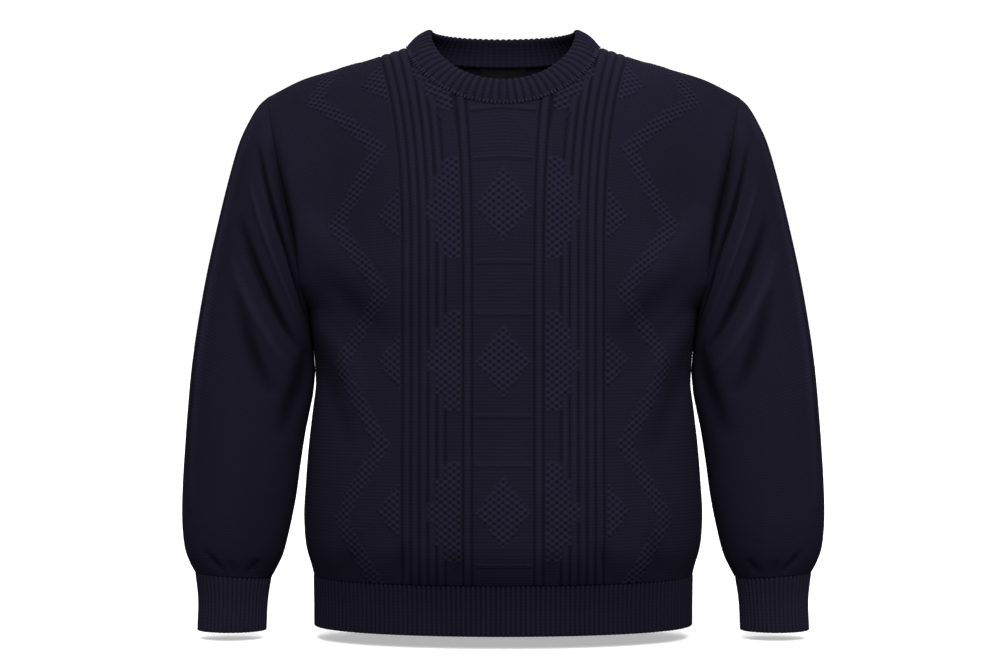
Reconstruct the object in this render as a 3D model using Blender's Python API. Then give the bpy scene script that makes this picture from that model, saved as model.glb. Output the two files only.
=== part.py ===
"""A patterned crew-neck pullover, filled out and hollow, held up where the neck meets the shoulders.

Each knitted piece is one thin wall: a front and a back panel, two sleeves, a ribbed hem, two ribbed cuffs,
a folded neckband and a bare neck label. Metres, +Z up, the wearer's front towards -Y and left arm towards +X.
The origin is the middle of the neck's base, where a wearer's shoulders hold the garment up.
"""

import math
from collections import namedtuple

import bpy
import numpy as np

# Levels, from the neck's base.
UNDERARM_Z = -0.303
RIB_TOP_Z = -0.611
HEM_Z = -0.667

# Half widths at the ends of the armhole's line in the front view, and the depths of its two halves.
UNDERARM_X = 0.224
SHOULDER_X, SHOULDER_Z = 0.274, -0.055
ARMHOLE_FRONT, ARMHOLE_BACK = 0.050, 0.056

# The neck: its base, its front and back low points, and the fold of the band above it.
NECK_DROP, NECK_POWER = 0.0745, 1.25
BACK_NECK_DROP, BACK_NECK_POWER = 0.014, 1.0
BAND_HALF_WIDTH = 0.085
BAND_TOP_Z, BAND_FRONT_DROP, BAND_BACK_DROP = 0.0235, 0.0675, 0.0045
BAND_FRONT_Y, BAND_BACK_Y = -0.088, 0.056
BAND_FRONT_POWER, BAND_BACK_POWER = 1.1, 1.0
BAND_SWELL = 0.0028

# How full the chest and back stay above the underarm, and how a row's ends turn in to the armhole there.
CHEST_POWER, BACK_POWER = 0.40, 0.33
TURN_IN, TURN_IN_BY = 32, 0.6

# Cloth.
WALL = 0.0025
BAND_WALL = 0.0050
SEAM_GAP = 0.0003
BAND_GAP = 0.0005
BEND = 0.88
SLEEVE_RADIUS = 0.062
LABEL_HALF_WIDTH, LABEL_LENGTH, LABEL_THICK = 0.027, 0.026, 0.0008
LABEL_TOP, LABEL_OFF = 0.002, 0.0008

# The front's chart: widths from the centre line and lengths up the panel.
RIB_PITCH = 0.0099
GROOVE_1 = 0.0345
RIB_START = GROOVE_1 + 3 * RIB_PITCH
RIB_COUNT = 5
NECK_COLUMN = RIB_START + 2 * RIB_PITCH
REPEAT = 0.1675
FIRST_DIAMOND = 0.0855
DIAMOND_STEM, DIAMOND_WIDTH, DIAMOND_LENGTH = 0.0030, 0.0287, 0.0387
HALF_START, HALF_STEM, HALF_WIDTH, HALF_LENGTH = 0.0025, 0.0025, 0.0115, 0.0580
STEP_WIDTH = 0.0280
SMALL_START, SMALL_WIDTH, SMALL_LENGTH = 0.0030, 0.0250, 0.0260
ZIGZAG_NEAR, ZIGZAG_FAR, ZIGZAG_BAND = 0.1280, 0.1880, 0.0150
ZIGZAG_DROP, ZIGZAG_LEAN = 0.0115, 0.0140
MOTIF_STEEP, HALF_STEEP = 6.0, 4.0
EDGE = 0.0009
RIB_RISE, GROOVE_FALL, MOSS_RISE = 0.0010, -0.0006, 0.0009

# Near the neck the wales spread, by NECK_SPREAD at the shoulder; above level BEND_FROM the rows bend to the
# neck's seam, where columns past TURN_FROM turn out to the shoulder.
NECK_SPREAD, SPREAD_REACH = 0.034, 0.040
BEND_FROM, TURN_FROM = 1.60, 0.045
HEIGHT_COLUMN = 0.1

# Ribbed bands: how many ribs go round, and how far they stand out.
HEM_RIBS, CUFF_RIBS, NECK_RIBS = 190, 48, 76
HEM_RISE, CUFF_RISE, NECK_RISE = 0.0013, 0.0011, 0.0014

# Torso sections from the underarm to the hem rib: half width, and depth before and behind the side seam.
Section = namedtuple("Section", "z half_width front back")
TORSO = [
    Section(UNDERARM_Z, UNDERARM_X, 0.1320, 0.1030),
    Section(-0.345, 0.2205, 0.1324, 0.1008),
    Section(-0.390, 0.2180, 0.1335, 0.0985),
    Section(-0.420, 0.2215, 0.1345, 0.0990),
    Section(-0.460, 0.2260, 0.1360, 0.1005),
    Section(-0.500, 0.2292, 0.1375, 0.1025),
    Section(-0.547, 0.2313, 0.1380, 0.1040),
    Section(-0.580, 0.2280, 0.1355, 0.1015),
    Section(-0.600, 0.2222, 0.1275, 0.0955),
    Section(RIB_TOP_Z, 0.2196, 0.1210, 0.0910),
]
HEM = [
    Section(RIB_TOP_Z, 0.2190, 0.1190, 0.0895),
    Section(-0.640, 0.2185, 0.1165, 0.0880),
    Section(HEM_Z, 0.2182, 0.1170, 0.0885),
]

# The shoulder line, from the centre of the neck out to the armhole.
Ridge = namedtuple("Ridge", "x z")
RIDGE = [
    Ridge(0.000, 0.022),
    Ridge(0.060, 0.014),
    Ridge(0.114, 0.001),
    Ridge(0.154, -0.0115),
    Ridge(0.196, -0.0235),
    Ridge(0.235, -0.0354),
    Ridge(SHOULDER_X, SHOULDER_Z),
]

# Sleeve rings: the ends of each ring on the arm's outer and inner side, its depth before and behind, and
# how far its middle lies in front of the side seams.
Ring = namedtuple("Ring", "outer_x outer_z inner_x inner_z front back forward")
SLEEVE = [
    Ring(SHOULDER_X, SHOULDER_Z, UNDERARM_X, UNDERARM_Z, ARMHOLE_FRONT, ARMHOLE_BACK, 0.000),
    Ring(0.2845, -0.0650, 0.2250, -0.3110, 0.0545, 0.0590, 0.000),
    Ring(0.2957, -0.0832, 0.2242, -0.3200, 0.0580, 0.0610, 0.000),
    Ring(0.3075, -0.1095, 0.2236, -0.3290, 0.0600, 0.0620, 0.001),
    Ring(0.3200, -0.1530, 0.2224, -0.3420, 0.0615, 0.0620, 0.001),
    Ring(0.3325, -0.2050, 0.2210, -0.3600, 0.0620, 0.0615, 0.002),
    Ring(0.3445, -0.2600, 0.2198, -0.3790, 0.0615, 0.0605, 0.003),
    Ring(0.3543, -0.3150, 0.2208, -0.3980, 0.0605, 0.0590, 0.004),
    Ring(0.3618, -0.3680, 0.2245, -0.4180, 0.0590, 0.0570, 0.005),
    Ring(0.3662, -0.4180, 0.2298, -0.4450, 0.0570, 0.0550, 0.007),
    Ring(0.3693, -0.4640, 0.2350, -0.4800, 0.0550, 0.0530, 0.009),
    Ring(0.3715, -0.5060, 0.2402, -0.5190, 0.0530, 0.0510, 0.011),
    Ring(0.3719, -0.5450, 0.2472, -0.5550, 0.0505, 0.0485, 0.013),
    Ring(0.3690, -0.5760, 0.2545, -0.5840, 0.0460, 0.0440, 0.014),
    Ring(0.3630, -0.5940, 0.2622, -0.6010, 0.0400, 0.0385, 0.0145),
    Ring(0.3565, -0.6060, 0.2685, -0.6125, 0.0345, 0.0330, 0.015),
]
CUFF = [
    Ring(0.3553, -0.60609, 0.2697, -0.61241, 0.0335, 0.0320, 0.015),
    Ring(0.3520, -0.6370, 0.2738, -0.6400, 0.0305, 0.0290, 0.015),
    Ring(0.3528, -0.6720, 0.2755, -0.6720, 0.0310, 0.0295, 0.015),
]

# Soft folds on a sleeve, each from a start to an end: the share of the sleeve's length, and the angle round
# it in degrees from the outer side, with the front at 90.
Fold = namedtuple("Fold", "start_along start_angle end_along end_angle width rise")
SLEEVE_FOLDS = [
    Fold(0.06, 92, 0.42, 150, 0.011, -0.0050),
    Fold(0.16, 72, 0.50, 132, 0.010, 0.0030),
    Fold(0.30, 88, 0.62, 140, 0.012, -0.0040),
    Fold(0.46, 70, 0.70, 118, 0.012, -0.0028),
    Fold(0.10, 250, 0.45, 205, 0.012, -0.0045),
    Fold(0.34, 285, 0.66, 222, 0.012, -0.0035),
    Fold(0.10, 28, 0.72, 40, 0.007, 0.0028),
    Fold(0.86, 60, 0.97, 84, 0.006, -0.0026),
    Fold(0.88, 128, 0.98, 112, 0.006, -0.0026),
    Fold(0.87, 235, 0.97, 255, 0.006, -0.0026),
    Fold(0.88, 325, 0.98, 308, 0.006, -0.0024),
]

# The neckband's rows: the share of the way up to the fold, the share of the ribs' rise, and how far in.
BandRow = namedtuple("BandRow", "up rib inset")
BAND_ROWS = [
    BandRow(0.00, 0.4, 0.0),
    BandRow(0.40, 1.0, 0.0),
    BandRow(0.82, 1.0, 0.0004),
    BandRow(1.00, 0.5, 0.0026),
]
BAND_INNER_ROWS = [0.0, 0.5, 0.93]

# Mesh sizes.
SAMPLES = 241
STEP = 0.002
TINY = 1e-6
ROW_GAP = 0.006
CHART_TURNS = [-0.34, -0.23, -0.115, 0.0, 0.115, 0.23, 0.34, 0.5]
ARMHOLE_FOOT_LEVELS = [1.0, 1.02, 1.07]
EDGE_SHARES = [0.35, 0.70, 1.0]
SLEEVE_COLUMNS, SLEEVE_ROWS = 28, 24
SLEEVE_INNER_COLUMNS, SLEEVE_INNER_ROWS = 20, 16
CUFF_RINGS, CUFF_INNER_COLUMNS = 3, 24
HEM_INNER_COLUMNS, BAND_INNER_COLUMNS = 64, 72
LABEL_COLUMNS, LABEL_ROWS = 7, 5
PLAIN_COLUMNS = [0.0, 0.012, 0.024, 0.036, 0.045, 0.050, 0.055, 0.060, 0.065, 0.0695, 0.074, 0.0785]
PLAIN_COLUMNS.append(NECK_COLUMN)
PLAIN_SHARES = [0.18, 0.36, 0.53, 0.69, 0.84, 1.0]
PLAIN_HEIGHTS = [0.0, 0.012, 0.035, 0.085, 0.155, 0.215, 0.260, 0.290]
ARMHOLE_TURNS = [0, 20, 42, 66, 90, 114, 138, 160, 180]

# Linear colours: a very dark navy yarn, and a black label.
COLOURS = {
    "body": (0.0114, 0.0103, 0.0212),
    "sleeve": (0.0104, 0.0094, 0.0190),
    "rib": (0.0118, 0.0107, 0.0216),
    "label": (0.0040, 0.0040, 0.0045),
}
KNIT_ROUGHNESS, LABEL_ROUGHNESS = 0.9, 0.6
SHARP_ANGLE = 40


def along(rows, place, name, at):
    """A table's column read as a smooth curve through its rows, at one place or at many."""
    x = np.array([getattr(row, place) for row in rows], float)
    y = np.array([getattr(row, name) for row in rows], float)
    if x[0] > x[-1]:
        x, y = x[::-1], y[::-1]
    slope = np.gradient(y, x)
    at = np.clip(at, x[0], x[-1])
    i = np.clip(np.searchsorted(x, at) - 1, 0, len(x) - 2)
    h = x[i + 1] - x[i]
    t = (at - x[i]) / h
    return (
        (1 + 2 * t) * (1 - t) ** 2 * y[i]
        + t * (1 - t) ** 2 * h * slope[i]
        + t * t * (3 - 2 * t) * y[i + 1]
        + t * t * (t - 1) * h * slope[i + 1]
    )


def unit(v):
    """Vectors at length 1."""
    return v / np.maximum(np.linalg.norm(v, axis=-1, keepdims=True), 1e-12)


def lengths(points):
    """How far along a line of points each one is."""
    steps = np.linalg.norm(np.diff(points, axis=0), axis=1)
    return np.concatenate([[0], np.cumsum(steps)])


def shares(points):
    """The same as shares of the line's whole length."""
    run = lengths(points)
    return run / run[-1]


# ---------------------------------------------------------------- the torso's form


def lower_course(z, side, rows=TORSO):
    """A section's points from the centre line to the side seam; side is -1 in front and 1 behind."""
    turn = np.linspace(0, math.pi / 2, SAMPLES)
    depth = along(rows, "z", "front" if side < 0 else "back", z)
    x = along(rows, "z", "half_width", z) * np.sin(turn)
    y = side * depth * np.cos(turn) ** BEND
    return np.stack([x, y, np.full_like(x, z)], axis=1)


def upper_course(climb, side):
    """The same above the underarm, out to the armhole; climb is 0 at the underarm and 1 at the shoulder."""
    eased = min(climb / TURN_IN_BY, 1)
    widest = math.radians(90 - TURN_IN * (3 - 2 * eased) * eased**2)
    turn = np.linspace(0, widest, SAMPLES)
    share = np.sin(turn) / math.sin(widest)
    hollow = (np.cos(turn) - math.cos(widest)) / (1 - math.cos(widest))
    bend = BEND + (1 - BEND) * climb
    edge = 2 * math.sqrt(max(climb * (1 - climb), 0)) * (ARMHOLE_FRONT if side < 0 else ARMHOLE_BACK)
    chest = TORSO[0].front if side < 0 else TORSO[0].back
    depth = chest * max(1 - climb * climb, 0) ** (CHEST_POWER if side < 0 else BACK_POWER)
    x = (UNDERARM_X + (SHOULDER_X - UNDERARM_X) * climb) * share
    hollow = np.maximum(hollow, 0)
    y = side * (depth * hollow**bend + edge * (1 - hollow) ** 3)
    top = along(RIDGE, "x", "z", SHOULDER_X * share)
    return np.stack([x, y, UNDERARM_Z + (top - UNDERARM_Z) * climb], axis=1)


def course(level, side):
    """A row of the panel: level is 0 at the hem rib, 1 at the underarm and 2 along the shoulder."""
    if level <= 1:
        return lower_course(RIB_TOP_Z + (UNDERARM_Z - RIB_TOP_Z) * level, side)
    return upper_course(level - 1, side)


def spread(level, places):
    """How far the neck pushes the wales outwards, more and more towards the shoulder line."""
    climb = max(level - 1, 0)
    return NECK_SPREAD * climb**3 * (1 - np.exp(-np.asarray(places) / SPREAD_REACH))


def on_course(level, side, places):
    """The points of a row at places, which are distances from the centre line as knitted."""
    line = course(level, side)
    run = lengths(line)
    at = np.minimum(np.asarray(places) + spread(level, places), run[-1])
    return np.stack([np.interp(at, run, line[:, k]) for k in range(3)], axis=1)


def on_cloth(level, side, places):
    """The points of a row at places, and the directions out of the cloth there."""
    places = np.asarray(places, float)
    out = on_course(level, side, places + STEP) - on_course(level, side, places - STEP)
    up = on_course(min(level + STEP, 2), side, places) - on_course(level - STEP, side, places)
    return on_course(level, side, places), unit(np.cross(out, up)) * -side


def course_width(level, side):
    """The distance from the centre line to the row's end, as knitted."""
    whole = lengths(course(level, side))[-1]
    return whole - spread(level, whole)


def height_table(side):
    """Levels and how far up the panel each one lies, measured up the column at HEIGHT_COLUMN."""
    levels = np.linspace(0, 2, 161)
    line = np.array([on_course(v, side, [HEIGHT_COLUMN])[0] for v in levels])
    return levels, lengths(line)


HEIGHTS = {side: height_table(side) for side in (-1, 1)}


def level_at(height, side):
    return float(np.interp(height, HEIGHTS[side][1], HEIGHTS[side][0]))


def height_at(level, side):
    return float(np.interp(level, HEIGHTS[side][0], HEIGHTS[side][1]))


def neckline(x, side):
    """The height of the neck's seam over x, as the front view shows it."""
    reach = on_course(2, side, [NECK_COLUMN])[0]
    ring = np.sqrt(np.clip(1 - (x / reach[0]) ** 2, 0, 1))
    drop = NECK_DROP if side < 0 else BACK_NECK_DROP
    power = NECK_POWER if side < 0 else BACK_NECK_POWER
    return reach[2] - drop * ring**power


def neck_level(place, side):
    """The level at which the column at place meets the neck's seam."""
    low, high = 1.2, 2.0
    for _ in range(30):
        middle = (low + high) / 2
        x, _, z = on_course(middle, side, [place])[0]
        if z > neckline(x, side):
            high = middle
        else:
            low = middle
    return (low + high) / 2


def neck_table(side):
    """The neck's seam from the centre line to the shoulder: places, levels and lengths along it."""
    places = NECK_COLUMN * (1 - (1 - np.linspace(0, 1, 121)) ** 3)
    levels = np.array([neck_level(place, side) for place in places[:-1]] + [2.0])
    seam = np.array([on_course(v, side, [place])[0] for v, place in zip(levels, places)])
    return places, levels, lengths(seam)


NECK = {side: neck_table(side) for side in (-1, 1)}


def neck_ends(places, side):
    """Where columns end on the neck's seam, as places and levels.

    Past TURN_FROM they turn out, towards the shoulder, and share the rest of the seam evenly.
    """
    seam_places, levels, run = NECK[side]
    kept = [place for place in places if place <= TURN_FROM]
    turned = sum(TURN_FROM < place < NECK_COLUMN - TINY for place in places)
    start = np.interp(kept[-1], seam_places, run)
    even = start + (run[-1] - start) * np.arange(1, turned + 1) / (turned + 1)
    ends = kept + list(np.interp(even, run, seam_places))
    return [(place, float(np.interp(place, seam_places, levels))) for place in ends]


# ---------------------------------------------------------------- the front's chart


def wave(height, length):
    """1 on the middle row of each repeat, falling to 0 at length from it."""
    off = abs((height - FIRST_DIAMOND + REPEAT / 2) % REPEAT - REPEAT / 2)
    return max(0.0, 1 - off / length)


def zigzag(height):
    """The inner edge of the moss-stitch band, which is farthest out near the middle row of each repeat.

    The band hangs lower than the diamonds near the hem, and swings farther out near the shoulder.
    """
    share = height / height_at(2, -1)
    turn = wave(height + ZIGZAG_DROP * (1 - share), REPEAT / 2)
    return ZIGZAG_NEAR + (ZIGZAG_FAR - ZIGZAG_NEAR + ZIGZAG_LEAN * share**2) * turn


def moss(turn):
    """How far a motif's moss stitch stands out, which comes up quickly from the motif's tips."""
    return MOSS_RISE * min(1.0, MOTIF_STEEP * turn)


def strip(inner, outer, rise):
    """A raised strip between two places, as columns with their heights."""
    return [(inner - EDGE, 0.0), (inner + EDGE, rise), (outer - EDGE, rise), (outer + EDGE, 0.0)]


def chart_columns(height, width):
    """The front's columns on one row: each one's place from the centre line, and how far it stands out."""
    diamond, half, small = (
        wave(height, DIAMOND_LENGTH),
        wave(height, HALF_LENGTH),
        wave(height, SMALL_LENGTH),
    )
    tip = DIAMOND_STEM + DIAMOND_WIDTH * diamond
    columns = [(0.0, moss(diamond)), (tip - EDGE, moss(diamond)), (tip + EDGE, 0.0)]
    columns += [((tip + EDGE + GROOVE_1) / 2, 0.0), (GROOVE_1, GROOVE_FALL)]
    columns += [(GROOVE_1 + RIB_PITCH / 2, RIB_RISE), (GROOVE_1 + RIB_PITCH, GROOVE_FALL)]
    start = GROOVE_1 + RIB_PITCH + HALF_START
    end = start + HALF_STEM + HALF_WIDTH * min(1.0, HALF_STEEP * half)
    columns += [(start, MOSS_RISE), (end - EDGE, MOSS_RISE), (end + EDGE, 0.0)]
    for k in range(2 * RIB_COUNT + 1):
        place = RIB_START + k * RIB_PITCH / 2
        covered = place + RIB_PITCH / 2 < RIB_START + STEP_WIDTH * half
        rib = RIB_RISE if k % 2 else GROOVE_FALL
        columns.append((place, MOSS_RISE if covered else rib))
    small_tip = RIB_START + RIB_COUNT * RIB_PITCH + SMALL_START + SMALL_WIDTH * small
    columns += [(small_tip, moss(small)), (small_tip + 2 * EDGE, 0.0)]
    near = zigzag(height)
    columns += strip(near, near + ZIGZAG_BAND, MOSS_RISE)
    last = columns[-1][0]
    return columns + [(last + (width - last) * share, 0.0) for share in EDGE_SHARES]


def front_heights():
    """The rows of the front's outer face: the turns of each repeat, and a few round the armhole's foot."""
    top = height_at(2, -1)
    rows = [0.0, *(height_at(level, -1) for level in ARMHOLE_FOOT_LEVELS), top]
    for k in range(-1, 5):
        for turn in CHART_TURNS:
            height = FIRST_DIAMOND + (k + turn) * REPEAT
            if 0 < height < top and min(abs(height - row) for row in rows) > ROW_GAP:
                rows.append(height)
    return sorted(rows)


# ---------------------------------------------------------------- meshes


def mirrored(half):
    """Both halves of a grid whose first column is the centre line, from the wearer's right to left."""
    other = half[:, :0:-1].copy()
    other[:, :, 0] *= -1
    return np.concatenate([other, half], axis=1)


def panel_rows(levels, columns_at, side):
    """One half of a panel, and its outward directions: neck columns end on the neck's seam, and the others
    on the shoulder."""
    ends = neck_ends(columns_at(levels[-1]), side)
    rows, directions = [], []
    for level in levels:
        places = columns_at(level)
        row, outward = on_cloth(max(level, STEP), side, places)
        share = (level - BEND_FROM) / (2 - BEND_FROM)
        if share > 0:
            for j, (end_place, end_level) in enumerate(ends):
                mine = BEND_FROM + (end_level - BEND_FROM) * share
                place = end_place + (places[j] - end_place) * (1 - share) ** 2
                row[j], outward[j] = (found[0] for found in on_cloth(mine, side, [place]))
        rows.append(row)
        directions.append(outward)
    return np.array(rows), np.array(directions)


def seat_edges(points, side, levels, inset):
    """Puts a half panel's edges on their seams, with the inner side's edges moved in by inset."""
    lean = unit(np.array([SHOULDER_X - UNDERARM_X, 0, SHOULDER_Z - UNDERARM_Z]))
    outward = np.array([lean[2], 0, -lean[0]])
    foot = np.array([UNDERARM_X, 0, UNDERARM_Z])
    head = np.array([SHOULDER_X, 0, SHOULDER_Z])
    middle = (foot + head) / 2
    depth = ARMHOLE_FRONT if side < 0 else ARMHOLE_BACK
    half_height = np.linalg.norm(head - foot) / 2
    for i, level in enumerate(levels):
        if level < 1:
            points[i, -1, 1] = side * SEAM_GAP / 2
            continue
        turn = math.acos(np.clip(1 - 2 * (level - 1), -1, 1))
        rim = middle - lean * math.cos(turn) * (half_height - inset)
        rim[1] = side * max(math.sin(turn) * (depth - inset), SEAM_GAP / 2)
        points[i, -1] = rim - outward * SEAM_GAP / 2
    points[0, :, 2] = RIB_TOP_Z + SEAM_GAP / 2
    points[:, 0, 0] = 0
    return points


def seat_shoulder(points, places, side):
    """Puts the shoulder's part of the top row on the plane of the shoulder seam."""
    on_seam = np.array(places) > NECK_COLUMN - TINY
    points[-1, on_seam, 1] = side * SEAM_GAP / 2
    return points


def zipped(first, second, first_at, second_at):
    """Triangles between two lines of vertices with their places, each place from 0 to 1."""
    faces = []
    i = j = 0
    while i < len(first) - 1 or j < len(second) - 1:
        ahead = i < len(first) - 1 and (j == len(second) - 1 or first_at[i + 1] <= second_at[j + 1])
        if ahead:
            faces.append((first[i], first[i + 1], second[j]))
            i += 1
        else:
            faces.append((first[i], second[j + 1], second[j]))
            j += 1
    return faces


def grid_faces(ids, closed):
    """Quads of a grid, facing out when its rows go up and its columns go anticlockwise from above."""
    rows, columns = ids.shape
    faces = []
    for i in range(rows - 1):
        for j in range(columns if closed else columns - 1):
            k = (j + 1) % columns
            faces.append((ids[i, j], ids[i, k], ids[i + 1, k], ids[i + 1, j]))
    return faces


def make_object(name, points, faces, material):
    """An object of its own with one material, in the garment's collection."""
    mesh = bpy.data.meshes.new(name)
    mesh.from_pydata([tuple(map(float, p)) for p in points], [], [tuple(map(int, f)) for f in faces])
    mesh.materials.append(material)
    mesh.shade_smooth()
    mesh.set_sharp_from_angle(angle=math.radians(SHARP_ANGLE))
    mesh.update()
    item = bpy.data.objects.new(name, mesh)
    GARMENT.objects.link(item)
    return item


def panel_wall(name, outer, inner, side, material):
    """A closed wall from an outer and an inner grid, whose rims are zipped side by side."""
    rows, columns = outer.shape[:2]
    in_rows, in_columns = inner.shape[:2]
    a = np.arange(rows * columns).reshape(rows, columns)
    b = rows * columns + np.arange(in_rows * in_columns).reshape(in_rows, in_columns)
    points = np.concatenate([outer.reshape(-1, 3), inner.reshape(-1, 3)])
    faces = grid_faces(a, False)
    faces += [face[::-1] for face in grid_faces(b, False)]
    borders = [
        (a[0], b[0], outer[0], inner[0], False),
        (a[-1], b[-1], outer[-1], inner[-1], True),
        (a[:, 0], b[:, 0], outer[:, 0], inner[:, 0], True),
        (a[:, -1], b[:, -1], outer[:, -1], inner[:, -1], False),
    ]
    for first, second, first_line, second_line, flip in borders:
        rim = zipped(first, second, shares(first_line), shares(second_line))
        faces += [face if flip else face[::-1] for face in rim]
    if side > 0:
        faces = [face[::-1] for face in faces]
    return make_object(name, points, faces, material)


def tube_wall(name, outer, inner, material, flip=False):
    """A closed wall from an outer and an inner ring grid, with a rim at each end."""
    rows, columns = outer.shape[:2]
    in_rows, in_columns = inner.shape[:2]
    a = np.arange(rows * columns).reshape(rows, columns)
    b = rows * columns + np.arange(in_rows * in_columns).reshape(in_rows, in_columns)
    points = np.concatenate([outer.reshape(-1, 3), inner.reshape(-1, 3)])
    faces = grid_faces(a, True)
    faces += [face[::-1] for face in grid_faces(b, True)]
    outer_at, inner_at = np.arange(columns + 1) / columns, np.arange(in_columns + 1) / in_columns
    for row, rim_flip in ((0, False), (-1, True)):
        first, second = np.append(a[row], a[row][0]), np.append(b[row], b[row][0])
        rim = zipped(first, second, outer_at, inner_at)
        faces += [face if rim_flip else face[::-1] for face in rim]
    if flip:
        faces = [face[::-1] for face in faces]
    return make_object(name, points, faces, material)


# ---------------------------------------------------------------- front and back


def plain_places(level, side):
    """The columns of a plain half panel: close together at the neck, then spread to the panel's edge."""
    width = course_width(level, side)
    return PLAIN_COLUMNS + [NECK_COLUMN + (width - NECK_COLUMN) * share for share in PLAIN_SHARES]


def plain_levels(side):
    """The rows of a plain panel, which follow the armhole's curve above the underarm."""
    lower = [level_at(h, side) for h in PLAIN_HEIGHTS]
    upper = [1 + (1 - math.cos(math.radians(turn))) / 2 for turn in ARMHOLE_TURNS]
    return lower + upper


def plain_face(side, inset):
    """A panel's plain face, moved in by inset: the inner side of both panels, and the back's outer side."""
    levels = plain_levels(side)
    base, outward = panel_rows(levels, lambda level: plain_places(level, side), side)
    face = seat_edges(base - outward * inset, side, levels, inset)
    return mirrored(seat_shoulder(face, plain_places(2, side), side))


def make_front(material):
    """The patterned front: ribs, diamonds and zigzag stand out of a plain wall."""
    side = -1
    levels = [level_at(h, side) for h in front_heights()]
    charts = {}
    for level in levels:
        charts[level] = chart_columns(height_at(level, side), course_width(level, side))
    base, outward = panel_rows(levels, lambda level: [place for place, _ in charts[level]], side)
    rises = np.array([[rise for _, rise in charts[level]] for level in levels])
    rises[-1] = np.minimum(rises[-1], 0)
    outer = seat_edges(base + outward * rises[:, :, None], side, levels, 0)
    outer = seat_shoulder(outer, [place for place, _ in charts[levels[-1]]], side)
    panel_wall("front", mirrored(outer), plain_face(side, WALL), side, material)


def make_back(material):
    """The plain back, with a shallow neckline."""
    panel_wall("back", plain_face(1, 0), plain_face(1, WALL), 1, material)


# ---------------------------------------------------------------- sleeves and cuffs


def ring_points(rows, at, turns, moved_in=0.0):
    """One ring across the arm; at counts rows of the table, and turns are angles from the outer side."""
    values = {name: float(along_index(rows, name, at)) for name in Ring._fields}
    outer = np.array([values["outer_x"], -values["forward"], values["outer_z"]])
    inner = np.array([values["inner_x"], -values["forward"], values["inner_z"]])
    middle, reach = (outer + inner) / 2, (outer - inner) / 2
    reach = reach - unit(reach) * moved_in
    front, back = values["front"] - moved_in, values["back"] - moved_in
    depth = np.where(np.sin(turns) > 0, front, back)
    points = middle + np.cos(turns)[:, None] * reach
    points[:, 1] -= np.sin(turns) * depth
    return points


def along_index(rows, name, at):
    """A table's column read as a smooth curve over the row number."""
    y = np.array([getattr(row, name) for row in rows], float)
    x = np.arange(len(rows), dtype=float)
    slope = np.gradient(y)
    i = int(np.clip(math.floor(at), 0, len(rows) - 2))
    t = at - x[i]
    return (
        (1 + 2 * t) * (1 - t) ** 2 * y[i]
        + t * (1 - t) ** 2 * slope[i]
        + t * t * (3 - 2 * t) * y[i + 1]
        + t * t * (t - 1) * slope[i + 1]
    )


def ring_grid(rows, count, columns):
    """Rings evenly spread over the table's rows, from its last row up to its first."""
    turns = -np.linspace(0, 2 * math.pi, columns, endpoint=False)
    places = np.linspace(len(rows) - 1, 0, count)
    return places, turns, np.array([ring_points(rows, at, turns) for at in places])


def tube_normals(grid):
    """The outward directions of a grid of rings."""
    across = np.roll(grid, -1, axis=1) - np.roll(grid, 1, axis=1)
    return unit(np.cross(across, np.gradient(grid, axis=0)))


def fold_rises(places, turns):
    """How far the sleeve's folds move each point of a ring grid out."""
    share = places[:, None] / (len(SLEEVE) - 1)
    angle = np.degrees(-turns)[None, :] % 360
    total = np.zeros((len(places), len(turns)))
    for fold in SLEEVE_FOLDS:
        t = (share - fold.start_along) / (fold.end_along - fold.start_along)
        middle = fold.start_angle + (fold.end_angle - fold.start_angle) * t
        away = np.radians((angle - middle + 180) % 360 - 180) * SLEEVE_RADIUS
        ends = np.sin(math.pi * np.clip(t, 0, 1)) ** 0.7
        total += fold.rise * ends * np.exp(-((away / fold.width) ** 2))
    return total


def sleeve_grid(count, columns):
    """A sleeve's outer face, folds and all, and its outward directions."""
    places, turns, base = ring_grid(SLEEVE, count, columns)
    normals = tube_normals(base)
    rises = fold_rises(places, turns)
    rises *= np.clip(np.minimum(places, len(SLEEVE) - 1 - places), 0, 1)[:, None]
    towards_body = np.clip(-np.cos(turns), 0, 1)[None, :] ** 2
    rises = np.where(rises > 0, rises * (1 - towards_body), rises)
    return base + normals * rises[:, :, None], normals


def flatten_ends(grid, rows, inset):
    """Puts a sleeve's or cuff's end rings on the planes of its seams, inset from the ring's outer face."""
    turns = -np.linspace(0, 2 * math.pi, grid.shape[1], endpoint=False)
    for end, at, away in ((-1, 0, -1), (0, len(rows) - 1, 1)):
        ring = ring_points(rows, at, turns, inset)
        outer = np.array([rows[at].outer_x, 0, rows[at].outer_z])
        inner = np.array([rows[at].inner_x, 0, rows[at].inner_z])
        lean = unit(outer - inner)
        down_arm = np.array([lean[2], 0, -lean[0]])
        grid[end] = ring - down_arm * SEAM_GAP / 2 * away
    return grid


def make_sleeve(name, sign, material):
    """A tapered tube from the armhole to the cuff; sign is 1 on the wearer's left."""
    outer, _ = sleeve_grid(SLEEVE_ROWS, SLEEVE_COLUMNS)
    inner, normals = sleeve_grid(SLEEVE_INNER_ROWS, SLEEVE_INNER_COLUMNS)
    inner = inner - normals * WALL
    outer = flatten_ends(outer, SLEEVE, 0)
    inner = flatten_ends(inner, SLEEVE, WALL)
    for grid in (outer, inner):
        grid[:, :, 0] *= sign
    tube_wall(name, outer, inner, material, flip=sign < 0)


def rib_rises(count, rise):
    """The rises of a band's columns: every second one is a rib."""
    return np.where(np.arange(2 * count) % 2 == 0, rise, 0.0)


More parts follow.
